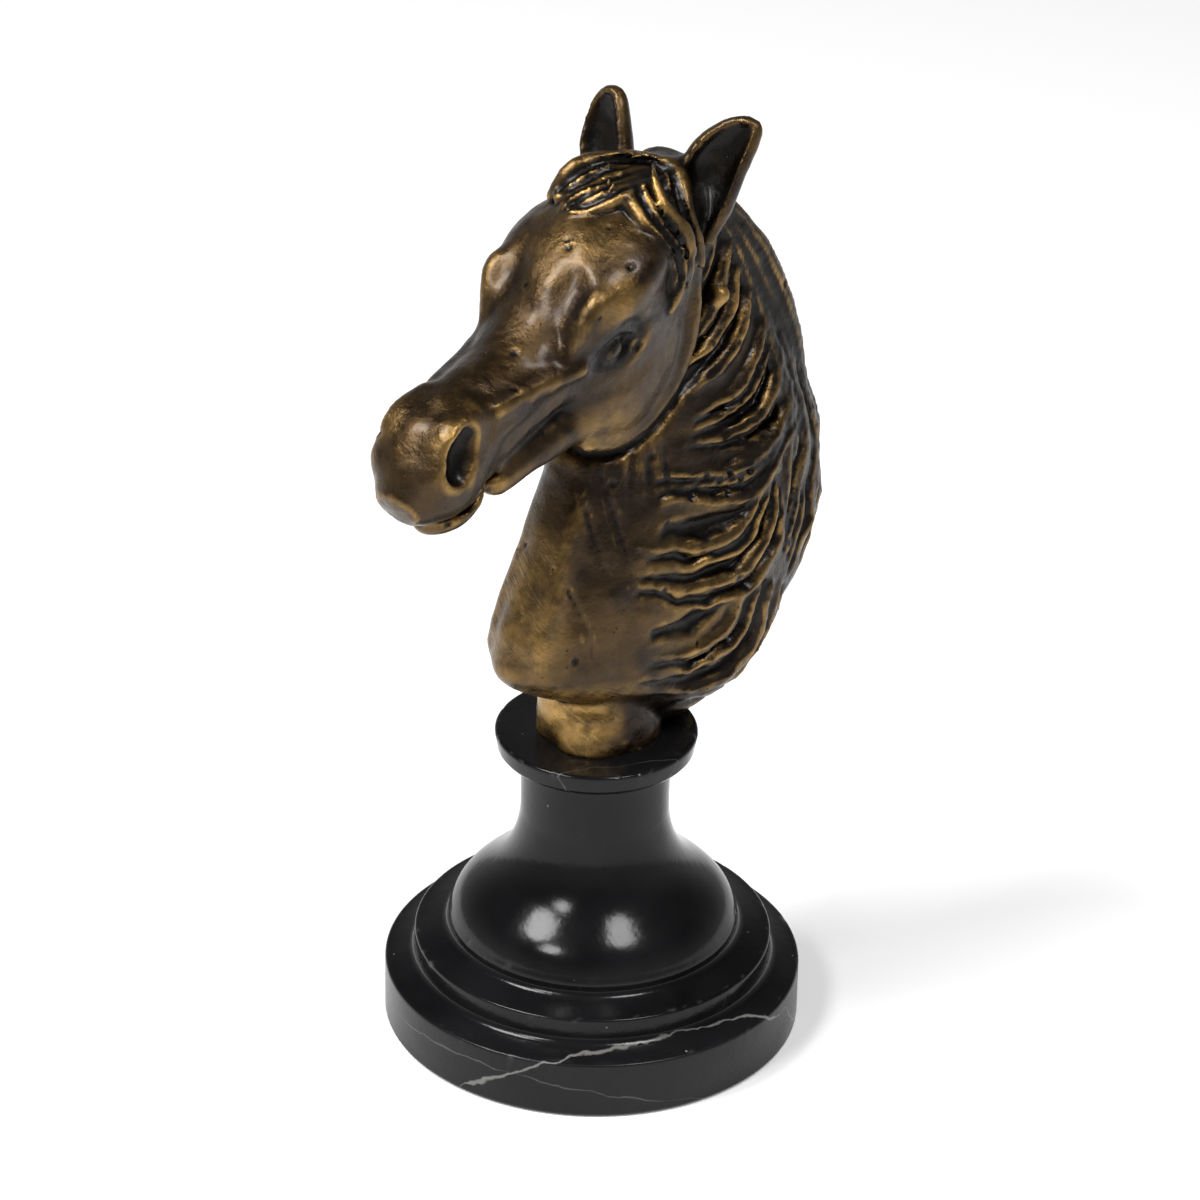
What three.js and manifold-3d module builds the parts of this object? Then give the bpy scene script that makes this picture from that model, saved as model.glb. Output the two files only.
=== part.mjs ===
// Desk ornament: a cast bronze horse head with a flowing mane on a turned marble socle.
// Millimetres, +Z up. The origin is the centre of the socle's underside. The horse looks towards -Y
// and its left side is +X. The head turns a little to its left.
import * as THREE from 'three';
import { mergeVertices } from 'three/addons/utils/BufferGeometryUtils.js';
import Module from 'manifold-3d';

// Driving dimensions of the socle.
const PLINTH_RADIUS = 42;
const PLINTH_HEIGHT = 12.3;
const MIDDLE_RING_RADIUS = 36;
const MIDDLE_RING_RISE = 6.6;
const TOP_RING_RADIUS = 29.2;
const TOP_RING_RISE = 4.4;
const WAIST_RADIUS = 14.9;
const BELL_HEIGHT = 37.2;
const FLANGE_RADIUS = 20.2;
const FLANGE_THICKNESS = 4.4;
const RING_BEVEL = 0.7;
const RING_DISH = 1.2;
const RING_FOOT = 0.9;
const LATHE_SEGMENTS = 44;

// Driving dimensions of the casting.
const BUST_HEIGHT = 127;
const STUB_RADIUS = 12;

// Heights that follow from the sizes above.
const MIDDLE_RING_TOP = PLINTH_HEIGHT + MIDDLE_RING_RISE;
const TOP_RING_TOP = MIDDLE_RING_TOP + TOP_RING_RISE;
const FLANGE_UNDERSIDE = TOP_RING_TOP + BELL_HEIGHT;
const SEAT_HEIGHT = FLANGE_UNDERSIDE + FLANGE_THICKNESS;

// The carving is laid out in shares of the bust's height: one unit is 1/127 of it. The layout's origin is
// the middle of the stub's foot: x to the horse's left, y to the back, z up.
const LAYOUT_HEIGHT = 127;
const STUB_TOP = 14;
const STUB_SUNK = 3;
const UNIT = BUST_HEIGHT / LAYOUT_HEIGHT;
const CELL = 1.5;
const CASTING_TRIANGLES = 7000;

// Distances. Each form is a function of a point that is negative inside the form.
function smoothUnion(a, b, blend) {
  const h = Math.max(blend - Math.abs(a - b), 0) / blend;
  return Math.min(a, b) - h * h * blend * 0.25;
}

function smoothCut(a, b, blend) {
  const h = Math.max(blend - Math.abs(a + b), 0) / blend;
  return Math.max(a, -b) + h * h * blend * 0.25;
}

function ellipsoid(px, py, pz, rx, ry, rz) {
  const ax = px / rx;
  const ay = py / ry;
  const az = pz / rz;
  const near = Math.sqrt(ax * ax + ay * ay + az * az);
  const slope = Math.sqrt((ax / rx) ** 2 + (ay / ry) ** 2 + (az / rz) ** 2);
  return slope > 0 ? (near * (near - 1)) / slope : -Math.min(rx, ry, rz);
}

function taperedRod(px, py, pz, a, b) {
  const bx = b[0] - a[0];
  const by = b[1] - a[1];
  const bz = b[2] - a[2];
  const qx = px - a[0];
  const qy = py - a[1];
  const qz = pz - a[2];
  const along = (qx * bx + qy * by + qz * bz) / (bx * bx + by * by + bz * bz);
  const t = Math.min(Math.max(along, 0), 1);
  const gap = Math.hypot(qx - bx * t, qy - by * t, qz - bz * t);
  return gap - (a[3] + (b[3] - a[3]) * t);
}

// A strand is a chain of tapered rods with a sphere round it, so that far points cost little.
function strand(points) {
  const middle = [0, 1, 2].map((k) => points.reduce((sum, p) => sum + p[k], 0) / points.length);
  const spans = points.map((p) => Math.hypot(p[0] - middle[0], p[1] - middle[1], p[2] - middle[2]) + p[3]);
  const reach = Math.max(...spans);
  return { points, middle, reach };
}

function strandDistance(px, py, pz, item, limit) {
  const far = Math.hypot(px - item.middle[0], py - item.middle[1], pz - item.middle[2]) - item.reach;
  if (far > limit) {
    return far;
  }
  let best = Infinity;
  for (let i = 1; i < item.points.length; i += 1) {
    best = Math.min(best, taperedRod(px, py, pz, item.points[i - 1], item.points[i]));
  }
  return best;
}

// A smooth curve through hand-placed points, each [x, y, z, radius].
function smoothPoints(points, steps) {
  const knots = points.map((p) => new THREE.Vector3(p[0], p[1], p[2]));
  const path = new THREE.CatmullRomCurve3(knots, false, 'centripetal');
  return Array.from({ length: steps + 1 }, (_, i) => {
    const place = path.getPoint(i / steps);
    const span = (i / steps) * (points.length - 1);
    const low = Math.min(Math.floor(span), points.length - 2);
    const radius = THREE.MathUtils.lerp(points[low][3], points[low + 1][3], span - low);
    return [place.x, place.y, place.z, radius];
  });
}

// A profile table with the slope of each column at each row; column 0 is the station.
function profileTable(rows) {
  const rise = (low, high, k) => (rows[high][k] - rows[low][k]) / (rows[high][0] - rows[low][0]);
  const last = rows.length - 1;
  const slopes = rows.map((row, i) => row.map((_, k) => {
    if (i === 0 || i === last) {
      return rise(i === 0 ? 0 : last - 1, i === 0 ? 1 : last, k);
    }
    const before = row[0] - rows[i - 1][0];
    const after = rows[i + 1][0] - row[0];
    return (rise(i, i + 1, k) * before + rise(i - 1, i, k) * after) / (before + after);
  }));
  return { rows, slopes };
}

// The columns of a table at a station, on a smooth curve through its rows.
function profileAt({ rows, slopes }, station) {
  if (station <= rows[0][0]) {
    return rows[0];
  }
  for (let i = 1; i < rows.length; i += 1) {
    if (station <= rows[i][0]) {
      const gap = rows[i][0] - rows[i - 1][0];
      const t = (station - rows[i - 1][0]) / gap;
      const rest = 1 - t;
      return rows[i].map((value, k) => (1 + 2 * t) * rest * rest * rows[i - 1][k]
        + t * rest * rest * gap * slopes[i - 1][k] + t * t * (3 - 2 * t) * value
        - t * t * rest * gap * slopes[i][k]);
    }
  }
  return rows[rows.length - 1];
}

// A body whose slices across one axis are ellipses. Each row is station, one side, other side, half width.
function slicedBody(station, across, side, table) {
  const [, low, high, half] = profileAt(table, station);
  const depth = (high - low) / 2;
  const body = ellipsoid(across - (high + low) / 2, side, 0, depth, half, 1e6);
  const first = table.rows[0][0];
  const last = table.rows[table.rows.length - 1][0];
  const past = Math.max(first - station, station - last);
  return Math.max(body, past);
}

// Strands spread evenly between a first and a last one, with a little disorder and every second tip shorter.
const DISORDER = 0.7;
const SHORT_TIP = 0.3;

function fan(first, last, count) {
  return Array.from({ length: count }, (_, i) => {
    const share = i / (count - 1);
    const knots = first.map((knot, k) => knot.map((value, c) => value + (last[k][c] - value) * share));
    const end = knots.length - 1;
    knots[end] = knots[end].map((value, c) => value + (knots[end - 1][c] - value) * SHORT_TIP * (i % 2));
    for (let k = 1; k <= end; k += 1) {
      knots[k][0] += DISORDER * Math.sin(2.4 * i + 1.7 * k);
      knots[k][1] += DISORDER * Math.cos(1.9 * i + 2.3 * k);
    }
    return knots;
  });
}

function between(knots, others) {
  return knots.map((knot, k) => knot.map((value, c) => (value + others[k][c]) / 2));
}

// Neck: height, front, back (as y), half width.
const NECK_PROFILE = profileTable([
  [2, 6, 22, 9],
  [6, 0, 30, 12],
  [10, -8, 37, 13.5],
  [14, -18, 42, 14.5],
  [19, -24, 46.5, 15],
  [26, -24, 51, 15.5],
  [36, -20, 53.5, 15.5],
  [46, -16, 53.5, 14.5],
  [56, -12.5, 52.5, 12.6],
  [66, -10, 49, 11],
  [76, -6, 44.5, 9.6],
  [86, -1, 40, 8.8],
  [96, 4, 35, 8.4],
  [106, 8, 29.5, 8.2],
  [112, 11, 25.5, 7],
  [117, 15, 22, 5],
]);
const NECK_FOOT = 2;
const NECK_REACH = 24;

// Above this height the neck leans over to carry the poll.
const NECK_LEAN_START = 30;

// Head: distance from the poll along the face, throat side, face side, half width.
const HEAD_POLL = [-5, 15, 116.6];
const HEAD_TURN = THREE.MathUtils.degToRad(11);
const HEAD_PITCH = THREE.MathUtils.degToRad(28);
const HEAD_LENGTH = 86;
const SKULL_PROFILE = profileTable([
  [-7, -14, -5, 6],
  [-3, -20, -2.5, 9.5],
  [6, -26, 1, 12],
  [15, -28, 4, 14],
  [25, -27, 5.5, 15.5],
  [34, -24, 3.5, 15],
  [42, -20, 1, 12.5],
  [50, -18, 0.5, 10.5],
  [60, -17.5, 3.4, 9],
  [69, -17.2, 5, 8.6],
  [76, -17, 4, 8.8],
  [81, -14.5, 0.5, 7.8],
  [HEAD_LENGTH, -10, -3, 4.5],
]);

// Lumps and hollows of the head in the order of carving. A lump has its middle and half sizes as distance
// along the face, out of the face line and to the left. A rod has knots of those three and a radius. Paired
// forms stand on both sides.
const CHEEK = { middle: [28.5, -20.5, 6], half: [18.5, 15.8, 8], blend: 2, pair: true };
const JAW_CORNER = { middle: [33, -25, 5], half: [14, 12.5, 7.6], blend: 2, pair: true };
const FOREHEAD = { middle: [24, -3, 0], half: [17.5, 8.6, 17], blend: 3 };
const JAW = { rod: [[34, -29, 4, 5], [50, -22.4, 4.5, 4.6], [66, -18.5, 3.5, 3.4]], blend: 3, pair: true };
const MUZZLE = { middle: [75.5, -6.2, 0], half: [10.5, 8.8, 9.4], blend: 3.5 };
const LOWER_LIP = { middle: [75.5, -15.8, 0], half: [8.2, 4.2, 6.8], blend: 1.2 };
const FACE_CREST = {
  rod: [[43, -8.6, 11.4, 1.8], [53, -4.4, 8.9, 1.7], [62, -1.2, 7.4, 1.5]], blend: 2.5, pair: true,
};
const FACE_CHANNEL = {
  rod: [[42, -13, 14, 1.6], [52, -11, 12, 2.2], [63, -9.5, 10.6, 1.8]], blend: 3, pair: true, cut: true,
};
const EYE_SOCKET = { middle: [36, -10, 16.4], half: [7.8, 6.4, 5.2], blend: 1.8, pair: true, cut: true };
const BROW_BASE = { middle: [31, -4, 9.6], half: [10, 6.6, 5], blend: 3, pair: true };
const BROW = {
  rod: [
    [47, -7.5, 8.6, 1], [41.8, -3.6, 10.4, 1.7], [36.9, -0.2, 11.8, 2.1], [33.2, 0.5, 12.4, 2.3],
    [30.2, -4, 12.6, 1.4], [25.4, -8.4, 13.4, 1.8], [20.4, -12.6, 12.6, 1],
  ],
  blend: 2,
  pair: true,
};
const BROW_HOLLOW = { middle: [38.4, 4.6, 7.4], half: [6, 2.6, 2.8], blend: 3.5, pair: true, cut: true };
const EYEBALL = { middle: [35.6, -10.6, 10.6], half: [3.5, 3, 3.2], blend: 0.4, pair: true };
const UPPER_LID = {
  rod: [[41, -10, 10.8, 0.5], [38, -7.2, 12.2, 0.9], [33.4, -6.8, 13.2, 1.1], [29.4, -11, 13.6, 0.7]],
  blend: 1,
  pair: true,
};
const LOWER_LID = {
  rod: [[41, -11, 10.8, 0.5], [37.4, -13.8, 11.8, 0.7], [32.8, -14, 12.8, 0.7], [29.4, -11.8, 13.6, 0.5]],
  blend: 1,
  pair: true,
};
const NOSTRIL_WING = {
  rod: [[66.5, 0.4, 5, 3.4], [72.4, 0.4, 5.8, 4.5], [78.2, -2.6, 5.8, 4]], blend: 2.2, pair: true,
};
const NOSTRIL = {
  rod: [[70.6, 1.4, 9.8, 2.7], [74, 0, 10.4, 3.7], [77, -2.2, 10.2, 3.1]], blend: 0.9, pair: true, cut: true,
};
const CHEEK_RIM = {
  rod: [
    [9.6, -17.5, 11.4, 1], [13.6, -24, 11.8, 1.4], [19.4, -30.4, 11.4, 1.5], [26.2, -34.6, 10.4, 1.5],
    [34, -36, 9.4, 1.5], [41, -34.2, 8.6, 1.3], [46.5, -29.5, 8.2, 1],
  ],
  blend: 3,
  pair: true,
};
const HEAD_FORMS = [
  FOREHEAD, CHEEK, JAW_CORNER, JAW, MUZZLE, LOWER_LIP, FACE_CREST, FACE_CHANNEL, EYE_SOCKET, BROW_BASE, BROW,
  BROW_HOLLOW,
  EYEBALL, UPPER_LID, LOWER_LID, NOSTRIL_WING, NOSTRIL, CHEEK_RIM,
].map((form) => (form.rod ? { ...form, strand: strand(smoothPoints(form.rod, 3 * form.rod.length)) } : form));

// The mouth is a slit that climbs towards the lips.
const MOUTH_CORNER = 66;
const MOUTH_HEIGHT = -15.8;
const MOUTH_RISE_START = 74;
const MOUTH_RISE = 0.34;
const MOUTH_HALF_GAP = 0.5;
const MOUTH_DEPTH = 1.8;

// A groove in the neck round each cheek.
const CHEEK_MOAT_WIDTH = 3.6;
const CHEEK_MOAT_DEPTH = 1.3;

// A forelock swept over to the right and a curl that falls before the left ear.
const FORELOCK_ROLL = { middle: [10.5, 2, -1.2], half: [9.5, 5, 8.4], blend: 1.5 };
const FORELOCK_FIRST = [
  [-3, -3.5, 0.5, 1.6], [2, 2, -2, 2], [7.5, 5.8, -5, 2],
  [13, 6.6, -8, 1.8], [17, 4.6, -10.4, 1.1],
];
const FORELOCK_LAST = [
  [0.5, -1.5, 2.6, 1.6], [7, 3.2, 4.8, 1.9], [13.5, 6, 4.2, 2],
  [18.4, 6.4, 1, 1.9], [21, 5.4, -3, 1.2],
];
const FORELOCK_COUNT = 6;
const CURL_FIRST = [
  [2, 1.4, 1, 1.6], [8.2, 4, 5, 2], [12, 1.2, 8.6, 2],
  [12, -4.8, 12, 1.8], [13.4, -10.6, 13.6, 0.9],
];
const CURL_LAST = [
  [-1, -1.2, 3, 1.5], [2, -1, 7.4, 2], [5.6, -4.6, 11, 2],
  [7.4, -9.4, 13.4, 1.7], [10, -13.6, 14.2, 0.9],
];
const CURL_COUNT = 5;
const HEAD_VALLEY_LIFT = [0.4, 1.4, 1.1];
const HEAD_VALLEY_SHARE = 0.5;

const headLocks = [];
const headValleys = [];
const forelock = fan(FORELOCK_FIRST, FORELOCK_LAST, FORELOCK_COUNT);
const curl = fan(CURL_FIRST, CURL_LAST, CURL_COUNT);
for (const locks of [forelock, curl]) {
  headLocks.push(...locks.map((knots) => strand(smoothPoints(knots, 10))));
  for (let i = 1; i < locks.length; i += 1) {
    const valley = smoothPoints(between(locks[i - 1], locks[i]), 10);
    headValleys.push(strand(valley.map(([u, v, w, radius]) => [
      u + HEAD_VALLEY_LIFT[0],
      v + HEAD_VALLEY_LIFT[1],
      w + HEAD_VALLEY_LIFT[2],
      radius * HEAD_VALLEY_SHARE,
    ])));
  }
}

// Ears: foot, tip, the way the hollow faces and how far the leaf bows to its side, all in head places.
const EAR_HALF_WIDTH = 6.4;
const EAR_DEPTH_SHARE = 0.62;
const EAR_WALL = 1.7;
const EAR_HOLLOW_SHIFT = 1.9;
const EAR_WIDEST = 0.36;
const LEFT_EAR = earFrame([3.5, -11, 10.4], [-15, 2.6, 15.2], [0.66, 0.7, 0.3], 2.6);
const RIGHT_EAR = earFrame([5, -6, -8.6], [-9.4, 6.2, -14.2], [0.62, 0.7, -0.16], 1.2);

// Mane: fans of ridges on the side of the neck, as y and z of a first and a last ridge, root to tip.
const MANE_SINK = 0.3;
const VALLEY_RADIUS = 1.6;
const VALLEY_LIFT = 0.6;
const HOLLOW_LIFT = 0.6;
const CREST = {
  count: 7, radius: 2.1, first: [[22, 111], [32, 93], [39, 73], [41, 54], [35, 34]],
  last: [[25, 111], [40, 91], [49, 67], [52, 41], [40, 15]],
};
const NAPE = {
  count: 5, radius: 2,
  first: [[22, 107], [19, 101], [16, 95], [13, 86]],
  last: [[35, 90], [31, 82], [23, 75], [13, 71]],
};
const SHOULDER = {
  count: 4, radius: 2.1,
  first: [[38, 84], [34, 76], [26, 70], [14, 67]],
  last: [[43, 68], [40, 61], [31, 58], [12, 60]],
};
const BAND = {
  count: 3, radius: 2.2,
  first: [[42, 65], [36, 58], [25, 55], [3, 57]],
  last: [[43, 58], [36, 52], [26, 50], [1, 53]],
};
const UPPER_SWEEP = {
  count: 4, radius: 2,
  first: [[30, 50], [23, 44], [14, 42.5], [1, 44]],
  last: [[36, 46], [34, 35], [22, 29], [-7, 34]],
};
const LOWER_SWEEP = {
  count: 3, radius: 2.1,
  first: [[24, 29], [19, 23], [13, 21], [0, 22]],
  last: [[33, 26], [29, 15], [19, 10], [-3, 15]],
};
const FOOT_FAN = {
  count: 3, radius: 1.9,
  first: [[37, 24], [32, 12], [25, 7], [7, 9]],
  last: [[40, 17], [34, 8], [26, 3], [16, 1]],
};
const MANE_FANS = [CREST, NAPE, SHOULDER, BAND, UPPER_SWEEP, LOWER_SWEEP, FOOT_FAN];

// Deep hollows of the mane, as y, z and radius.
const BEHIND_CHEEK = [[26, 84, 1], [20, 77, 1.8], [15, 72, 1]];
const UNDER_BAND = [[25, 47, 1], [17, 46, 2.4], [6, 46.5, 1.6]];
const BETWEEN_SWEEPS = [[20, 30, 1.4], [11, 27, 2.4], [1, 27, 1.4]];
const OVER_FOOT = [[26, 6, 0.8], [17, 5, 1.2], [8, 6, 0.8]];
const MANE_HOLLOWS = [BEHIND_CHEEK, UNDER_BAND, BETWEEN_SWEEPS, OVER_FOOT];

function toHead(x, y, z) {
  const dx = x - HEAD_POLL[0];
  const dy = y - HEAD_POLL[1];
  const dz = z - HEAD_POLL[2];
  const ahead = dx * Math.sin(HEAD_TURN) - dy * Math.cos(HEAD_TURN);
  const left = dx * Math.cos(HEAD_TURN) + dy * Math.sin(HEAD_TURN);
  const u = ahead * Math.cos(HEAD_PITCH) - dz * Math.sin(HEAD_PITCH);
  const v = ahead * Math.sin(HEAD_PITCH) + dz * Math.cos(HEAD_PITCH);
  return [u, v, left];
}

function earFrame(foot, tip, open, bow) {
  const from = new THREE.Vector3(...foot);
  const axis = new THREE.Vector3(...tip).sub(from);
  const length = axis.length();
  axis.normalize();
  const facing = new THREE.Vector3(...open);
  facing.addScaledVector(axis, -facing.dot(axis)).normalize();
  const across = new THREE.Vector3().crossVectors(axis, facing);
  return {
    foot: from.toArray(),
    axis: axis.toArray(),
    facing: facing.toArray(),
    across: across.toArray(),
    length,
    bow,
  };
}

// A leaf that bows to one side: round below, pointed above, and shallower than it is wide.
function earBody(place, ear, wall, shift) {
  const offset = place.map((value, k) => value - ear.foot[k] - ear.facing[k] * shift);
  const part = (axis) => offset[0] * axis[0] + offset[1] * axis[1] + offset[2] * axis[2];
  const along = part(ear.axis);
  const t = Math.min(Math.max(along / ear.length, 0), 1);
  const aside = part(ear.across) - ear.bow * Math.sin(Math.PI * t);
  const deep = part(ear.facing) / EAR_DEPTH_SHARE;
  const climb = Math.max((t - EAR_WIDEST) / (1 - EAR_WIDEST), 0) ** 1.8;
  const root = 0.62 + 0.38 * Math.sin(Math.min(t / EAR_WIDEST, 1) * Math.PI / 2);
  const half = EAR_HALF_WIDTH * (0.1 + 0.9 * Math.sqrt(1 - climb)) * root - wall;
  return Math.max((Math.hypot(aside, deep) - half) * EAR_DEPTH_SHARE, -along - 2, along - ear.length + wall);
}

function earDistance(place, ear) {
  const outer = earBody(place, ear, 0, 0);
  return outer > 6 ? outer : smoothCut(outer, earBody(place, ear, EAR_WALL, EAR_HOLLOW_SHIFT), 0.6);
}

function lumpDistance([u, v, w], { middle, half }) {
  return ellipsoid(u - middle[0], v - middle[1], w - middle[2], ...half);
}

function headDistance([u, v, w]) {
  const centred = [u, v, w];
  const paired = [u, v, Math.abs(w)];
  let d = slicedBody(u, v, w, SKULL_PROFILE);
  for (const form of HEAD_FORMS) {
    const place = form.pair ? paired : centred;
    const gap = form.strand ? strandDistance(...place, form.strand, 6) : lumpDistance(place, form);
    d = form.cut ? smoothCut(d, gap, form.blend) : smoothUnion(d, gap, form.blend);
  }
  const mouthLine = MOUTH_HEIGHT + MOUTH_RISE * Math.max(u - MOUTH_RISE_START, 0);
  const slit = Math.max(Math.abs(v - mouthLine) - MOUTH_HALF_GAP, MOUTH_CORNER - u, -d - MOUTH_DEPTH);
  d = smoothCut(d, slit, 0.8);
  d = smoothUnion(d, lumpDistance(centred, FORELOCK_ROLL), FORELOCK_ROLL.blend);
  for (const lock of headLocks) {
    d = smoothUnion(d, strandDistance(u, v, w, lock, 6), 0.5);
  }
  for (const valley of headValleys) {
    d = smoothCut(d, strandDistance(u, v, w, valley, 6), 0.5);
  }
  d = smoothUnion(d, earDistance(centred, LEFT_EAR), 1.2);
  return smoothUnion(d, earDistance(centred, RIGHT_EAR), 1.2);
}

function neckDistance(x, y, z) {
  const lean = HEAD_POLL[0] * THREE.MathUtils.smoothstep(z, NECK_LEAN_START, HEAD_POLL[2]);
  return slicedBody(z, y, x - lean, NECK_PROFILE);
}

// How far out the bare neck reaches at a depth and height on one side.
function neckSide(y, z, side) {
  let inner = 0;
  let outer = NECK_REACH;
  for (let i = 0; i < 14; i += 1) {
    const middle = (inner + outer) / 2;
    if (neckDistance(middle * side, y, z) < 0) {
      inner = middle;
    } else {
      outer = middle;
    }
  }
  return inner;
}

// A strand of knots y, z and radius laid on one side of the neck, lifted off it by a little.
function laidStrand(knots, side, lift) {
  const path = smoothPoints(knots.map(([y, z, radius]) => [0, y, z, radius]), 10);
  return strand(path.map(([, y, z, radius]) => {
    const body = neckSide(y, Math.max(z, NECK_FOOT + 1), side);
    return [(Math.max(body - MANE_SINK, 1.5) + lift) * side, y, z, radius];
  }));
}

function withRadii(knots, radius, tip) {
  return knots.map(([y, z], k) => [y, z, radius * (k === 0 ? 0.7 : k === knots.length - 1 ? tip : 1)]);
}

const mane = [];
const hollows = [];
for (const side of [1, -1]) {
  for (const { count, radius, first, last } of MANE_FANS) {
    const ridges = fan(first, last, count);
    ridges.forEach((knots, i) => {
      mane.push(laidStrand(withRadii(knots, radius * (1 - 0.2 * (i % 2)), 0.4), side, 0));
      if (i > 0) {
        const valley = withRadii(between(ridges[i - 1], knots), VALLEY_RADIUS, 0.1);
        hollows.push(laidStrand(valley, side, VALLEY_LIFT));
      }
    });
  }
  for (const knots of MANE_HOLLOWS) {
    hollows.push(laidStrand(knots, side, HOLLOW_LIFT + MANE_SINK));
  }
}

function bustDistance(x, y, z) {
  const place = toHead(x, y, z);
  const half = [place[0], place[1], Math.abs(place[2])];
  const cheek = Math.min(lumpDistance(half, CHEEK), lumpDistance(half, JAW_CORNER));
  let neck = neckDistance(x, y, z);
  neck = smoothCut(neck, Math.max(cheek - CHEEK_MOAT_WIDTH, -neck - CHEEK_MOAT_DEPTH), 2);
  for (const hollow of hollows) {
    neck = smoothCut(neck, strandDistance(x, y, z, hollow, 6), 1.2);
  }
  let d = smoothUnion(neck, headDistance(place), 1.5);
  for (const lock of mane) {
    d = smoothUnion(d, strandDistance(x, y, z, lock, 6), 0.7);
  }
  const stub = Math.max(Math.hypot(x, y) - STUB_RADIUS / UNIT, z - STUB_TOP, -STUB_SUNK - z);
  return smoothUnion(d, stub, 1.5);
}

// Grid of samples round the bust.
const GRID_MARGIN = 4 * CELL;
const HALF_REACH = FOREHEAD.half[2] - HEAD_POLL[0];
const FRONT_REACH = HEAD_LENGTH * Math.cos(HEAD_PITCH) * Math.cos(HEAD_TURN) - HEAD_POLL[1];
const BACK_REACH = Math.max(...NECK_PROFILE.rows.map((row) => row[2]));
const TOP_REACH = Math.max(...[LEFT_EAR, RIGHT_EAR].map(({ foot, axis, length }) => {
  const [u, v] = [foot[0] + axis[0] * length, foot[1] + axis[1] * length];
  return HEAD_POLL[2] + v * Math.cos(HEAD_PITCH) - u * Math.sin(HEAD_PITCH);
}));
const GRID_LOW = [-HALF_REACH - GRID_MARGIN, -FRONT_REACH - GRID_MARGIN, -STUB_SUNK - CELL / 2];
const GRID_HIGH = [HALF_REACH + GRID_MARGIN, BACK_REACH + GRID_MARGIN, TOP_REACH + GRID_MARGIN];

// Closed surface of a distance function: each cube of the grid is six tetrahedra round one diagonal.
function surfaceOf(distance) {
  const count = GRID_LOW.map((low, k) => Math.ceil((GRID_HIGH[k] - low) / CELL) + 1);
  const [nx, ny, nz] = count;
  const value = new Float32Array(nx * ny * nz);
  for (let k = 0; k < nz; k += 1) {
    for (let j = 0; j < ny; j += 1) {
      for (let i = 0; i < nx; i += 1) {
        const sample = distance(GRID_LOW[0] + i * CELL, GRID_LOW[1] + j * CELL, GRID_LOW[2] + k * CELL);
        value[(k * ny + j) * nx + i] = sample === 0 ? 1e-6 : sample;
      }
    }
  }
  const step = [0, 1, nx, nx + 1, nx * ny, nx * ny + 1, nx * ny + nx, nx * ny + nx + 1];
  const tetrahedra = [[0, 1, 3, 7], [0, 3, 2, 7], [0, 2, 6, 7], [0, 6, 4, 7], [0, 4, 5, 7], [0, 5, 1, 7]];
  const positions = [];
  const faces = [];
  const known = new Map();
  const place = (index) => {
    const i = index % nx;
    const j = Math.floor(index / nx) % ny;
    const k = Math.floor(index / (nx * ny));
    return [GRID_LOW[0] + i * CELL, GRID_LOW[1] + j * CELL, GRID_LOW[2] + k * CELL];
  };
  const crossing = (a, b) => {
    const low = Math.min(a, b);
    const high = Math.max(a, b);
    const key = low * 8 + step.indexOf(high - low);
    if (!known.has(key)) {
      const t = Math.min(Math.max(value[low] / (value[low] - value[high]), 0.02), 0.98);
      const p = place(low);
      const q = place(high);
      known.set(key, positions.length / 3);
      positions.push(p[0] + (q[0] - p[0]) * t, p[1] + (q[1] - p[1]) * t, p[2] + (q[2] - p[2]) * t);
    }
    return known.get(key);
  };
  for (let k = 0; k < nz - 1; k += 1) {
    for (let j = 0; j < ny - 1; j += 1) {
      for (let i = 0; i < nx - 1; i += 1) {
        const corner = (k * ny + j) * nx + i;
        const inside = step.map((offset) => value[corner + offset] < 0);
        if (inside.every((state) => state === inside[0])) {
          continue;
        }
        for (const tetrahedron of tetrahedra) {
          const ins = tetrahedron.filter((c) => inside[c]).map((c) => corner + step[c]);
          const outs = tetrahedron.filter((c) => !inside[c]).map((c) => corner + step[c]);
          const turned = tetrahedronTurn(tetrahedron, inside);
          if (ins.length === 1) {
            addFace(faces, outs.map((o) => crossing(ins[0], o)), turned);
          } else if (ins.length === 3) {
            addFace(faces, ins.map((a) => crossing(a, outs[0])), turned);
          } else if (ins.length === 2) {
            const pairs = [[0, 0], [0, 1], [1, 1], [1, 0]];
            const ring = pairs.map(([a, b]) => crossing(ins[a], outs[b]));
            addFace(faces, [ring[0], ring[1], ring[2]], turned);
            addFace(faces, [ring[0], ring[2], ring[3]], turned);
          }
        }
      }
    }
  }
  return { positions, faces };
}

function addFace(faces, [a, b, c], turned) {
  faces.push(a, turned ? c : b, turned ? b : c);
}

// Whether the corners of a crossing come out clockwise once the inside corners are put first.
function tetrahedronTurn(tetrahedron, inside) {
  const order = [0, 1, 2, 3].filter((c) => inside[tetrahedron[c]]);
  order.push(...[0, 1, 2, 3].filter((c) => !inside[tetrahedron[c]]));
  let swaps = 0;
  for (let i = 0; i < 4; i += 1) {
    for (let j = i + 1; j < 4; j += 1) {
      swaps += order[i] > order[j] ? 1 : 0;
    }
  }
  return swaps % 2 === 1;
}

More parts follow.
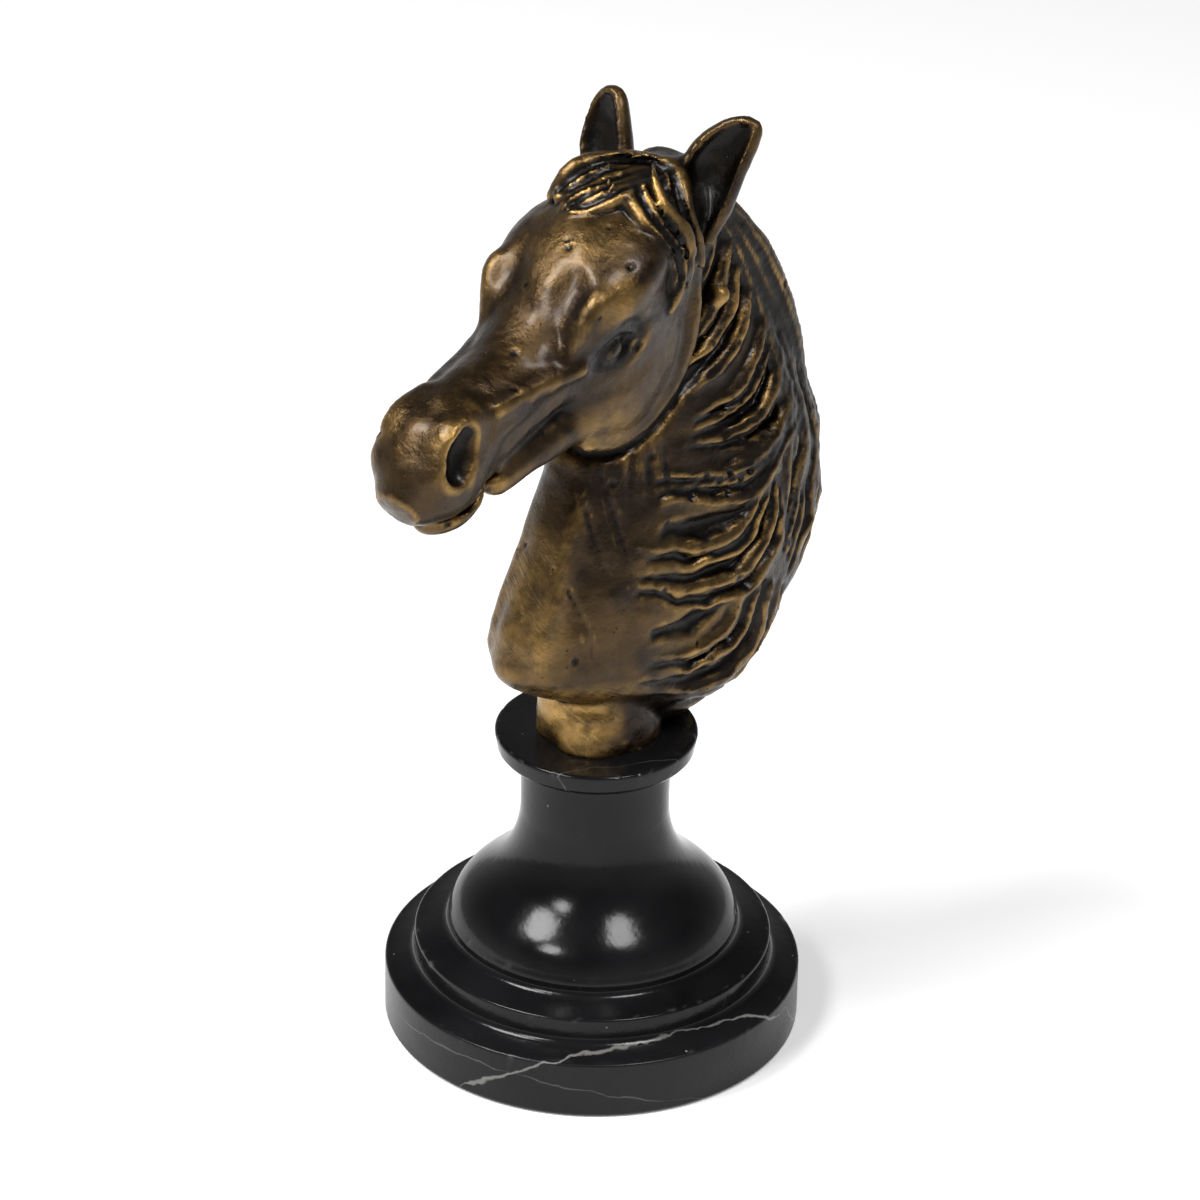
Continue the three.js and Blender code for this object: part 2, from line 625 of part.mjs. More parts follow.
// The largest connected shell. What is left out are pockets that close up between locks of hair.
function outerShell({ positions, faces }) {
  const parent = Int32Array.from({ length: positions.length / 3 }, (_, i) => i);
  const root = (start) => {
    let at = start;
    while (parent[at] !== at) {
      parent[at] = parent[parent[at]];
      at = parent[at];
    }
    return at;
  };
  for (let i = 0; i < faces.length; i += 3) {
    parent[root(faces[i])] = root(faces[i + 1]);
    parent[root(faces[i + 1])] = root(faces[i + 2]);
  }
  const sizes = new Map();
  for (let i = 0; i < faces.length; i += 3) {
    sizes.set(root(faces[i]), (sizes.get(root(faces[i])) ?? 0) + 1);
  }
  const [largest] = [...sizes].reduce((best, entry) => (entry[1] > best[1] ? entry : best));
  return { positions, faces: faces.filter((_, i) => root(faces[i - (i % 3)]) === largest) };
}

// Smallest-first queue of edges for the thinning below.
class EdgeQueue {
  constructor() {
    this.items = [];
  }

  push(item) {
    const items = this.items;
    items.push(item);
    let at = items.length - 1;
    while (at > 0) {
      const parent = (at - 1) >> 1;
      if (items[parent].cost <= item.cost) {
        break;
      }
      items[at] = items[parent];
      at = parent;
    }
    items[at] = item;
  }

  pop() {
    const items = this.items;
    const top = items[0];
    const last = items.pop();
    const size = items.length;
    let at = 0;
    while (size > 0) {
      let child = 2 * at + 1;
      if (child >= size) {
        break;
      }
      if (child + 1 < size && items[child + 1].cost < items[child].cost) {
        child += 1;
      }
      if (items[child].cost >= last.cost) {
        break;
      }
      items[at] = items[child];
      at = child;
    }
    if (size > 0) {
      items[at] = last;
    }
    return top;
  }
}

// Thins a closed mesh to a number of triangles, joining first the edges whose loss moves the surface least.
function thinned({ positions, faces }, target) {
  const places = Float64Array.from(positions);
  const corners = Int32Array.from(faces);
  const vertexCount = places.length / 3;
  const around = Array.from({ length: vertexCount }, () => []);
  const planes = new Float64Array(vertexCount * 10);
  const stamp = new Int32Array(vertexCount);
  const alive = new Uint8Array(corners.length / 3).fill(1);
  let left = corners.length / 3;

  const normalWith = (face, vertex, x, y, z) => {
    const p = [];
    for (let k = 0; k < 3; k += 1) {
      const c = corners[face * 3 + k];
      if (c === vertex) {
        p.push(x, y, z);
      } else {
        p.push(places[c * 3], places[c * 3 + 1], places[c * 3 + 2]);
      }
    }
    const [ux, uy, uz] = [p[3] - p[0], p[4] - p[1], p[5] - p[2]];
    const [vx, vy, vz] = [p[6] - p[0], p[7] - p[1], p[8] - p[2]];
    return [uy * vz - uz * vy, uz * vx - ux * vz, ux * vy - uy * vx];
  };

  for (let face = 0; face < left; face += 1) {
    const n = normalWith(face, -1, 0, 0, 0);
    const size = Math.hypot(...n);
    const [a, b, c] = size > 0 ? n.map((value) => value / size) : [0, 0, 0];
    const at = corners[face * 3] * 3;
    const d = -(a * places[at] + b * places[at + 1] + c * places[at + 2]);
    const terms = [a * a, a * b, a * c, a * d, b * b, b * c, b * d, c * c, c * d, d * d];
    for (let k = 0; k < 3; k += 1) {
      const vertex = corners[face * 3 + k];
      around[vertex].push(face);
      terms.forEach((term, i) => {
        planes[vertex * 10 + i] += term * size;
      });
    }
  }

  const costAt = (q, x, y, z) => q[0] * x * x + 2 * q[1] * x * y + 2 * q[2] * x * z + 2 * q[3] * x
    + q[4] * y * y + 2 * q[5] * y * z + 2 * q[6] * y + q[7] * z * z + 2 * q[8] * z + q[9];

  const plan = (v, w) => {
    const q = Array.from({ length: 10 }, (_, i) => planes[v * 10 + i] + planes[w * 10 + i]);
    const a = places.subarray(v * 3, v * 3 + 3);
    const b = places.subarray(w * 3, w * 3 + 3);
    const middle = [(a[0] + b[0]) / 2, (a[1] + b[1]) / 2, (a[2] + b[2]) / 2];
    const choices = [middle, [...a], [...b]];
    const [xx, xy, xz, x1, yy, yz, y1, zz, z1] = q;
    const det = xx * (yy * zz - yz * yz) - xy * (xy * zz - yz * xz) + xz * (xy * yz - yy * xz);
    if (Math.abs(det) > 1e-3) {
      const x = -(x1 * (yy * zz - yz * yz) - xy * (y1 * zz - yz * z1) + xz * (y1 * yz - yy * z1)) / det;
      const y = -(xx * (y1 * zz - yz * z1) - x1 * (xy * zz - yz * xz) + xz * (xy * z1 - y1 * xz)) / det;
      const z = -(xx * (yy * z1 - y1 * yz) - xy * (xy * z1 - y1 * xz) + x1 * (xy * yz - yy * xz)) / det;
      if (Math.hypot(x - middle[0], y - middle[1], z - middle[2]) < 2 * CELL) {
        choices.push([x, y, z]);
      }
    }
    let best = choices[0];
    let cost = Infinity;
    for (const choice of choices) {
      const here = costAt(q, ...choice);
      if (here < cost) {
        best = choice;
        cost = here;
      }
    }
    const length = Math.hypot(a[0] - b[0], a[1] - b[1], a[2] - b[2]);
    return { v, w, cost: cost + 1e-4 * length * length, best, stamp: stamp[v] + stamp[w] };
  };

  const queue = new EdgeQueue();
  for (let face = 0; face < left; face += 1) {
    for (let k = 0; k < 3; k += 1) {
      const v = corners[face * 3 + k];
      const w = corners[face * 3 + ((k + 1) % 3)];
      if (v < w) {
        queue.push(plan(v, w));
      }
    }
  }

  const neighbours = (vertex) => {
    const found = new Set();
    for (const face of around[vertex]) {
      for (let k = 0; k < 3; k += 1) {
        found.add(corners[face * 3 + k]);
      }
    }
    found.delete(vertex);
    return found;
  };

  const holds = (face, vertex) => corners[face * 3] === vertex || corners[face * 3 + 1] === vertex
    || corners[face * 3 + 2] === vertex;

  const staysFacing = (vertex, other, place) => around[vertex].every((face) => {
    if (holds(face, other)) {
      return true;
    }
    const before = normalWith(face, -1, 0, 0, 0);
    const after = normalWith(face, vertex, ...place);
    const sizes = Math.hypot(...before) * Math.hypot(...after);
    return before[0] * after[0] + before[1] * after[1] + before[2] * after[2] > 0.3 * sizes && sizes > 1e-9;
  });

  while (left > target && queue.items.length > 0) {
    const { v, w, best, stamp: mark } = queue.pop();
    if (around[v].length === 0 || around[w].length === 0 || mark !== stamp[v] + stamp[w]) {
      continue;
    }
    const near = neighbours(v);
    const shared = [...neighbours(w)].filter((vertex) => near.has(vertex)).length;
    if (!near.has(w) || shared !== 2 || !staysFacing(v, w, best) || !staysFacing(w, v, best)) {
      continue;
    }
    for (const face of around[w]) {
      if (holds(face, v)) {
        alive[face] = 0;
        left -= 1;
        for (let k = 0; k < 3; k += 1) {
          const c = corners[face * 3 + k];
          if (c !== w) {
            around[c] = around[c].filter((other) => other !== face);
          }
        }
      } else {
        for (let k = 0; k < 3; k += 1) {
          if (corners[face * 3 + k] === w) {
            corners[face * 3 + k] = v;
          }
        }
        around[v].push(face);
      }
    }
    around[w] = [];
    places.set(best, v * 3);
    for (let i = 0; i < 10; i += 1) {
      planes[v * 10 + i] += planes[w * 10 + i];
    }
    stamp[v] += stamp[w] + 1;
    for (const other of neighbours(v)) {
      queue.push(plan(v, other));
    }
  }

  const kept = [];
  for (let face = 0; face < alive.length; face += 1) {
    if (alive[face]) {
      kept.push(corners[face * 3], corners[face * 3 + 1], corners[face * 3 + 2]);
    }
  }
  return { positions: places, faces: kept };
}

const wasm = await Module();
wasm.setup();

function toSolid(geometry) {
  const bare = geometry.clone();
  bare.deleteAttribute('normal');
  bare.deleteAttribute('uv');
  const merged = mergeVertices(bare, 1e-4);
  return new wasm.Manifold(new wasm.Mesh({
    numProp: 3,
    vertProperties: Float32Array.from(merged.attributes.position.array),
    triVerts: Uint32Array.from(merged.index.array),
  }));
}

function toGeometry(solid) {
  const mesh = solid.getMesh();
  const geometry = new THREE.BufferGeometry();
  geometry.setAttribute('position', new THREE.BufferAttribute(Float32Array.from(mesh.vertProperties), 3));
  geometry.setIndex(new THREE.BufferAttribute(Uint32Array.from(mesh.triVerts), 1));
  geometry.computeVertexNormals();
  return geometry;
}

// The casting: carved in layout units, scaled to the bust's height and cut flat where it sits on the flange.
function castingGeometry() {
  const { positions, faces } = thinned(outerShell(surfaceOf(bustDistance)), CASTING_TRIANGLES);
  const geometry = new THREE.BufferGeometry();
  geometry.setAttribute('position', new THREE.BufferAttribute(Float32Array.from(positions), 3));
  geometry.setIndex(faces);
  geometry.scale(UNIT, UNIT, UNIT);
  geometry.translate(0, 0, SEAT_HEIGHT);
  const cutter = new THREE.BoxGeometry(FLANGE_RADIUS * 6, FLANGE_RADIUS * 6, SEAT_HEIGHT);
  cutter.translate(0, 0, SEAT_HEIGHT / 2);
  return toGeometry(toSolid(geometry).subtract(toSolid(cutter)));
}

// One ring of the socle: a dished top that rises to the foot of the wall above it.
function ringSteps(profile, radius, top, nextRadius) {
  profile.lineTo(radius, top - RING_BEVEL);
  profile.lineTo(radius - RING_BEVEL, top);
  const foot = nextRadius + RING_FOOT;
  profile.quadraticCurveTo((radius + foot) / 2, top + RING_DISH * 0.25, foot, top + RING_DISH);
  profile.lineTo(nextRadius, top + RING_DISH + RING_FOOT);
}

function socleGeometry() {
  const profile = new THREE.Path();
  profile.moveTo(0, 0);
  profile.lineTo(PLINTH_RADIUS - RING_BEVEL, 0);
  profile.lineTo(PLINTH_RADIUS, RING_BEVEL);
  ringSteps(profile, PLINTH_RADIUS, PLINTH_HEIGHT, MIDDLE_RING_RADIUS);
  ringSteps(profile, MIDDLE_RING_RADIUS, MIDDLE_RING_TOP, TOP_RING_RADIUS);
  profile.lineTo(TOP_RING_RADIUS, TOP_RING_TOP - RING_BEVEL);
  profile.lineTo(TOP_RING_RADIUS - RING_BEVEL * 0.5, TOP_RING_TOP);
  const flare = TOP_RING_RADIUS - WAIST_RADIUS;
  profile.bezierCurveTo(
    TOP_RING_RADIUS - flare * 0.16, TOP_RING_TOP + BELL_HEIGHT * 0.24,
    WAIST_RADIUS + flare * 0.1, TOP_RING_TOP + BELL_HEIGHT * 0.2,
    WAIST_RADIUS, TOP_RING_TOP + BELL_HEIGHT * 0.62,
  );
  profile.quadraticCurveTo(
    WAIST_RADIUS - 0.2, TOP_RING_TOP + BELL_HEIGHT * 0.9,
    WAIST_RADIUS + 0.8, FLANGE_UNDERSIDE,
  );
  profile.lineTo(FLANGE_RADIUS - RING_BEVEL * 1.6, FLANGE_UNDERSIDE);
  profile.lineTo(FLANGE_RADIUS - RING_BEVEL * 0.8, FLANGE_UNDERSIDE + RING_BEVEL);
  profile.lineTo(FLANGE_RADIUS, SEAT_HEIGHT - RING_BEVEL);
  profile.lineTo(FLANGE_RADIUS - RING_BEVEL, SEAT_HEIGHT);
  profile.lineTo(0, SEAT_HEIGHT);
  const points = profile.getPoints(4);
  const lathe = new THREE.LatheGeometry(points, LATHE_SEGMENTS);
  lathe.rotateX(Math.PI / 2);
  return toGeometry(toSolid(lathe));
}

const bronze = new THREE.MeshStandardMaterial({ color: 0x5a4226, roughness: 0.42, metalness: 0.9 });
const marble = new THREE.MeshStandardMaterial({ color: 0x0e0e10, roughness: 0.12, metalness: 0 });

const casting = new THREE.Mesh(castingGeometry(), bronze);
casting.name = 'horse_head';

const socle = new THREE.Mesh(socleGeometry(), marble);
socle.name = 'marble_socle';

const model = new THREE.Group();
model.add(socle, casting);

export default model;
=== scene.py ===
import math
import bpy
import numpy as np
from mathutils import Matrix, Vector


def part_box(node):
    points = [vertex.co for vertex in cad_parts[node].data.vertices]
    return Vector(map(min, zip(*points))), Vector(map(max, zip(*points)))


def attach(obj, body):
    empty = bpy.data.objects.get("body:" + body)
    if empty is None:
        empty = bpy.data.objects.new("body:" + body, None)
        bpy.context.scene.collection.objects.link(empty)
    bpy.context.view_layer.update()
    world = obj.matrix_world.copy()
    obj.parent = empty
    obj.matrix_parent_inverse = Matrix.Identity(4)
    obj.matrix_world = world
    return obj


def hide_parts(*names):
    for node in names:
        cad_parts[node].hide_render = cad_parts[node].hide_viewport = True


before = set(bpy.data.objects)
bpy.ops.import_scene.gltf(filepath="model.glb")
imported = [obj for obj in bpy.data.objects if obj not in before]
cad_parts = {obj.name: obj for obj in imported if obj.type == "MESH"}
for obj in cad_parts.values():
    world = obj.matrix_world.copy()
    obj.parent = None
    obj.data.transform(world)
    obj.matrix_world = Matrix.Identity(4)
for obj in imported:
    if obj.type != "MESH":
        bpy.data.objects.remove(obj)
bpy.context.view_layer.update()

# Camera.
# It stands a metre off, high in front of the horse's left shoulder, with a long lens and a slight roll.
CAMERA_AZIMUTH = math.radians(50.0)
CAMERA_ELEVATION = math.radians(28.62)
CAMERA_ROLL = math.radians(1.147)
CAMERA_DISTANCE = 1.0267
CAMERA_TARGET = Vector((0.0, 0.0, 0.0935))
CAMERA_SENSOR = 36.0
FOCAL_PIXELS = 5243.0
FRAME_PIXELS = 1200.0
CENTRE_OFFSET_PIXELS = 0.98

toward_camera = Vector((
    math.sin(CAMERA_AZIMUTH) * math.cos(CAMERA_ELEVATION),
    -math.cos(CAMERA_AZIMUTH) * math.cos(CAMERA_ELEVATION),
    math.sin(CAMERA_ELEVATION),
))
camera_data = bpy.data.cameras.new("photo_camera")
camera_data.sensor_width = CAMERA_SENSOR
camera_data.lens = CAMERA_SENSOR * FOCAL_PIXELS / FRAME_PIXELS
camera_data.shift_x = CENTRE_OFFSET_PIXELS / FRAME_PIXELS
camera = bpy.data.objects.new("photo_camera", camera_data)
bpy.context.collection.objects.link(camera)
camera_turn = toward_camera.to_track_quat("Z", "Y").to_matrix().to_4x4()
camera.matrix_world = (
    Matrix.Translation(CAMERA_TARGET + toward_camera * CAMERA_DISTANCE)
    @ camera_turn
    @ Matrix.Rotation(CAMERA_ROLL, 4, "Z")
)
bpy.context.scene.camera = camera

# Bronze casting: head, ears, forelock, mane, neck and the rough stub under the neck, cast in one pour from a
# wax and patinated brown. The stub is fixed to the socle's flange. It is carved as a distance field in
# millimetres from the middle of the stub's foot, x to the horse's left, y to its back and z up.
SEAT_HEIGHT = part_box("marble_socle")[1].z
MILLIMETRE = 0.001
TINY = 1e-9
FAR_OFF = 1e3
LEAST_GAP = 1e-4
STRAND_MARGIN = 2.5
LATTICE = 32
CORNERS = np.argwhere(np.ones((2, 2, 2)))
STEPS = np.eye(3, dtype=int)
FAN_STAGGER = 0.3
FAN_WANDER = 0.7
BLEND = dict(
    mouth=0.8, head_lock=0.5, ear_lip=0.6, ear=1.2, moat=2.0, hollow=1.2, head=1.5, mane=0.7,
    neck_ridge=3.5, mark=0.5, blister=0.4, bead=0.3, stub=1.5,
)


def smooth_union(a, b, blend):
    overlap = np.maximum(blend - np.abs(a - b), 0.0) / blend
    return np.minimum(a, b) - overlap * overlap * blend * 0.25


def smooth_cut(a, b, blend):
    overlap = np.maximum(blend - np.abs(a + b), 0.0) / blend
    return np.maximum(a, -b) + overlap * overlap * blend * 0.25


def ellipsoid(places, lump):
    """Distance to a lump given by its middle and its half sizes."""
    x, y, z = (places - np.array(lump["middle"], float)).T
    rx, ry, rz = lump["half"]
    near = np.sqrt((x / rx) ** 2 + (y / ry) ** 2 + (z / rz) ** 2)
    slope = np.sqrt((x / rx ** 2) ** 2 + (y / ry ** 2) ** 2 + (z / rz ** 2) ** 2)
    return np.where(slope > TINY, near * (near - 1.0) / np.maximum(slope, TINY), -min(lump["half"]))


def one_side(places, axis):
    """The same places with the right side folded over to the left."""
    folded = places.copy()
    folded[:, axis] = np.abs(folded[:, axis])
    return folded


def tapered_rod(points, start, end):
    """Distance to a rod whose ends are x, y, z, radius."""
    axis = end[:3] - start[:3]
    offset = points - start[:3]
    along = np.clip(offset @ axis / max(axis @ axis, TINY), 0.0, 1.0)
    gap = np.linalg.norm(offset - along[:, None] * axis, axis=1)
    return gap - (start[3] + (end[3] - start[3]) * along)


def curve_weights(t):
    """The shares of start, start slope, end and end slope in a smooth curve."""
    return 2 * t ** 3 - 3 * t ** 2 + 1, t ** 3 - 2 * t ** 2 + t, 3 * t ** 2 - 2 * t ** 3, t ** 3 - t ** 2


def smooth_path(knots, steps):
    """A centripetal curve through x, y, z, radius knots."""
    knots = np.asarray(knots, float)
    padded = np.vstack([2 * knots[0] - knots[1], knots, 2 * knots[-1] - knots[-2]])
    path = []
    for i in range(steps + 1):
        span = i / steps * (len(knots) - 1)
        low = min(int(span), len(knots) - 2)
        p0, p1, p2, p3 = padded[low:low + 4]
        pairs = ((p0, p1), (p1, p2), (p2, p3))
        d0, d1, d2 = [max(np.linalg.norm(b[:3] - a[:3]) ** 0.5, LEAST_GAP) for a, b in pairs]
        m1 = (p1 - p0) / d0 - (p2 - p0) / (d0 + d1) + (p2 - p1) / d1
        m2 = (p2 - p1) / d1 - (p3 - p1) / (d1 + d2) + (p3 - p2) / d2
        t = span - low
        start, start_slope, end, end_slope = curve_weights(t)
        place = start * p1 + start_slope * (m1 * d1) + end * p2 + end_slope * (m2 * d1)
        place[3] = p1[3] + (p2[3] - p1[3]) * t
        path.append(place)
    return np.array(path)


def profile_at(rows, station):
    """The columns of a profile table at each station, on a smooth curve through its rows."""
    rows = np.asarray(rows, float)
    gaps = np.diff(rows[:, 0])[:, None]
    rises = np.diff(rows, axis=0) / gaps
    inner = (rises[1:] * gaps[:-1] + rises[:-1] * gaps[1:]) / (gaps[:-1] + gaps[1:])
    slopes = np.vstack([rises[:1], inner, rises[-1:]])
    station = np.clip(station, rows[0, 0], rows[-1, 0])
    index = np.clip(np.searchsorted(rows[:, 0], station, side="left"), 1, len(rows) - 1)
    low, high, gap = rows[index - 1], rows[index], gaps[index - 1]
    start, start_slope, end, end_slope = curve_weights((station[:, None] - low[:, :1]) / gap)
    return start * low + start_slope * gap * slopes[index - 1] + end * high + end_slope * gap * slopes[index]


def sliced_body(station, across, side, rows):
    """A body whose slices across one axis are ellipses: station, low side, high side, half width."""
    _, low, high, half = profile_at(rows, station).T
    depth, offset = (high - low) / 2, across - (high + low) / 2
    near = np.sqrt((offset / depth) ** 2 + (side / half) ** 2)
    slope = np.sqrt((offset / depth ** 2) ** 2 + (side / half ** 2) ** 2)
    body = np.where(slope > TINY, near * (near - 1) / np.maximum(slope, TINY), -np.minimum(depth, half))
    return np.maximum(body, np.maximum(rows[0][0] - station, station - rows[-1][0]))


def strand_distance(points, strand, groove=None):
    """Distance to a chain of tapered rods, which may carry grooves."""
    best = np.full(len(points), FAR_OFF)
    for start, end in zip(strand[:-1], strand[1:]):
        gap = tapered_rod(points, start, end)
        if groove is not None:
            gap = gap + groove(points, start, end)
        best = np.minimum(best, gap)
    return best


def close_to(points, strand, reach):
    """Which points lie in a strand's box, made larger by a reach on every side."""
    low, high = strand[:, :3].min(0) - reach, strand[:, :3].max(0) + reach
    return np.all((points > low) & (points < high), axis=1)


def work_strand(field, points, strand, blend, cut=False, groove=None):
    """Joins a strand to the field or cuts it out, touching only the points near it."""
    near = close_to(points, strand, strand[:, 3].max() + blend + STRAND_MARGIN)
    if near.any():
        join = smooth_cut if cut else smooth_union
        field[near] = join(field[near], strand_distance(points[near], strand, groove), blend)


def fan(first, last, count):
    """Strands spread evenly between a first and a last one, with a little disorder."""
    first, last = np.asarray(first, float), np.asarray(last, float)
    strands = []
    for i in range(count):
        knots = first + (last - first) * (i / (count - 1))
        knots[-1] += (knots[-2] - knots[-1]) * FAN_STAGGER * (i % 2)
        for k in range(1, len(knots)):
            knots[k, :2] += FAN_WANDER * math.sin(2.4 * i + 1.7 * k), FAN_WANDER * math.cos(1.9 * i + 2.3 * k)
        strands.append(knots)
    return strands


# Neck profile: height, front, back, half width. It rises to the front below and leans over at the poll.
NECK_ROWS = [
    (2, 6, 22, 9), (6, 0, 30, 12), (10, -8, 37, 13.5), (14, -18, 42, 14.5), (19, -24, 46.5, 15),
    (26, -24, 51, 15.5), (36, -20, 53.5, 15.5), (46, -16, 53.5, 14.5), (56, -12.5, 52.5, 12.6),
    (66, -10, 49, 11), (76, -6, 44.5, 9.6), (86, -1, 40, 8.8), (96, 4, 35, 8.4), (106, 8, 29.5, 8.2),
    (112, 11, 25.5, 7), (117, 15, 22, 5),
]
NECK_LEAN_START = 30.0
NECK_SEARCH = 24.0
NECK_HALVINGS = 14

# Head profile in head places: distance from the poll along the face, throat side, face side, half width.
HEAD_POLL = np.array([-5.0, 15.0, 116.6])
HEAD_TURN = math.radians(11.0)
HEAD_PITCH = math.radians(28.0)
SKULL_ROWS = [
    (-7, -14, -5, 6), (-3, -20, -2.5, 9.5), (6, -26, 1, 12), (15, -28, 4, 14), (25, -27, 5.5, 15.5),
    (34, -24, 3.5, 15), (42, -20, 1, 12.5), (50, -18, 0.5, 10.5), (60, -17.5, 3.4, 9),
    (69, -17.2, 5, 8.6), (76, -17, 4, 8.8), (81, -14.5, 0.5, 7.8), (86, -10, -3, 4.5),
]

# Lumps and hollows of the head, in the order of carving: middle, half sizes and blend in head places. A
# pair stands on both sides. Rods have knots of along, out, left and radius.
HEAD_FORMS = [
    dict(form="forehead", middle=(24, -3, 0), half=(17.5, 8.6, 17), blend=3),
    dict(form="cheek", middle=(28.5, -20.5, 6), half=(18.5, 15.8, 8), blend=2, pair=True),
    dict(form="jaw corner", middle=(33, -25, 5), half=(14, 12.5, 7.6), blend=2, pair=True),
    dict(form="jaw", rod=[(34, -29, 4, 5), (50, -22.4, 4.5, 4.6), (66, -18.5, 3.5, 3.4)], blend=3,
         pair=True),
    dict(form="muzzle", middle=(75.5, -6.2, 0), half=(10.5, 8.8, 9.4), blend=3.5),
    dict(form="lower lip", middle=(75.5, -15.8, 0), half=(8.2, 4.2, 6.8), blend=1.2),
    dict(form="face crest", rod=[(43, -8.6, 11.4, 1.8), (53, -4.4, 8.9, 1.7), (62, -1.2, 7.4, 1.5)],
         blend=2.5, pair=True),
    dict(form="face channel", rod=[(42, -13, 14, 1.6), (52, -11, 12, 2.2), (63, -9.5, 10.6, 1.8)],
         blend=3, pair=True, cut=True),
    dict(form="eye socket", middle=(36, -10, 16.4), half=(7.8, 6.4, 5.2), blend=1.8, pair=True, cut=True),
    dict(form="brow base", middle=(31, -4, 9.6), half=(10, 6.6, 5), blend=3, pair=True),
    dict(form="brow", rod=[(47, -7.5, 8.6, 1), (41.8, -3.6, 10.4, 1.7), (36.9, -0.2, 11.8, 2.1),
         (33.2, 0.5, 12.4, 2.3), (30.2, -4, 12.6, 1.4), (25.4, -8.4, 13.4, 1.8), (20.4, -12.6, 12.6, 1)],
         blend=2, pair=True),
    dict(form="brow hollow", middle=(38.4, 4.6, 7.4), half=(6, 2.6, 2.8), blend=3.5, pair=True, cut=True),
    dict(form="eyeball", middle=(35.6, -10.6, 10.6), half=(3.5, 3, 3.2), blend=0.4, pair=True),
    dict(form="upper lid", rod=[(41, -10, 10.8, 0.5), (38, -7.2, 12.2, 0.9), (33.4, -6.8, 13.2, 1.1),
         (29.4, -11, 13.6, 0.7)], blend=1, pair=True),
    dict(form="lower lid", rod=[(41, -11, 10.8, 0.5), (37.4, -13.8, 11.8, 0.7), (32.8, -14, 12.8, 0.7),
         (29.4, -11.8, 13.6, 0.5)], blend=1, pair=True),
    dict(form="nostril wing", rod=[(66.5, 0.4, 5, 3.4), (72.4, 0.4, 5.8, 4.5), (78.2, -2.6, 5.8, 4)],
         blend=2.2, pair=True),
    dict(form="nostril", rod=[(71, 1.2, 9.8, 2.8), (73.8, -0.2, 10.4, 4), (76.2, -1.9, 10.4, 3.4)],
         blend=0.9, pair=True, cut=True),
    dict(form="cheek rim", rod=[(9.6, -17.5, 11.4, 1), (13.6, -24, 11.8, 1.4), (19.4, -30.4, 11.4, 1.5),
         (26.2, -34.6, 10.4, 1.5), (34, -36, 9.4, 1.5), (41, -34.2, 8.6, 1.3), (46.5, -29.5, 8.2, 1)],
         blend=3, pair=True),
]
MOUTH_CORNER = 66.0
MOUTH_HEIGHT = -15.8
MOUTH_RISE_START = 74.0
MOUTH_RISE = 0.34
MOUTH_HALF_GAP = 0.5
MOUTH_DEPTH = 1.8
CHEEK_MOAT_WIDTH = 3.6
CHEEK_MOAT_DEPTH = 1.3

# Hair of the head: a forelock swept across to the right, a curl that falls before the left ear and a side
# lock below it. Valleys are cut between the strands.
HEAD_HAIR = [
    dict(hair="forelock", count=6, first=[(-3, -3.5, 0.5, 1.6), (2, 2, -2, 2), (7.5, 5.8, -5, 2),
         (13, 6.6, -8, 1.8), (17, 4.6, -10.4, 1.1)],
         last=[(0.5, -1.5, 2.6, 1.6), (7, 3.2, 4.8, 1.9), (13.5, 6, 4.2, 2), (18.4, 6.4, 1, 1.9),
         (21, 5.4, -3, 1.2)]),
    dict(hair="curl", count=5, first=[(2, 1.4, 1, 1.6), (8.2, 4, 5, 2), (12, 1.2, 8.6, 2),
         (12, -4.8, 12, 1.8), (13.4, -10.6, 13.6, 0.9)],
         last=[(-1, -1.2, 3, 1.5), (2, -1, 7.4, 2), (5.6, -4.6, 11, 2), (7.4, -9.4, 13.4, 1.7),
         (10, -13.6, 14.2, 0.9)]),
    dict(hair="side lock", count=3, first=[(4, 3, 1, 1.3), (10, 5.4, 3.4, 1.8), (15, 2.4, 10.4, 2),
         (15, -4.4, 14.8, 1.8), (17.4, -10.6, 15.2, 1.5), (21, -14.2, 15.6, 0.6)],
         last=[(2, 2.4, 2.4, 1.2), (6.4, 4.4, 6, 1.7), (9.6, 2.4, 10.4, 1.9), (10.6, -3, 13.6, 1.8),
         (11.6, -8.4, 14.4, 1.5), (14.6, -13.2, 15, 0.6)]),
]
FORELOCK_ROLL = dict(middle=(10.5, 2, -1.2), half=(9.5, 5, 8.4), blend=1.5)
HEAD_VALLEY_LIFT = (0.4, 1.4, 1.1)
HEAD_VALLEY_SHARE = 0.5
HEAD_STRAND_STEPS = 10

# Ears: leaves that are hollowed out on the side that they open to.
EAR_HALF_WIDTH = 6.4
EAR_DEPTH_SHARE = 0.62
EAR_WALL = 1.7
EAR_HOLLOW_SHIFT = 1.9
EAR_WIDEST = 0.36
EAR_TIP_SHARE = 0.1
EAR_ROOT_SHARE = 0.62
EAR_TAPER = 1.8
EAR_SUNK = 2
EARS = [
    dict(ear="left", foot=(3.5, -11, 10.4), tip=(-15, 2.6, 15.2), open=(0.66, 0.7, 0.3), bow=2.6),
    dict(ear="right", foot=(5, -6, -8.6), tip=(-9.4, 6.2, -14.2), open=(0.62, 0.7, -0.16), bow=1.2),
]

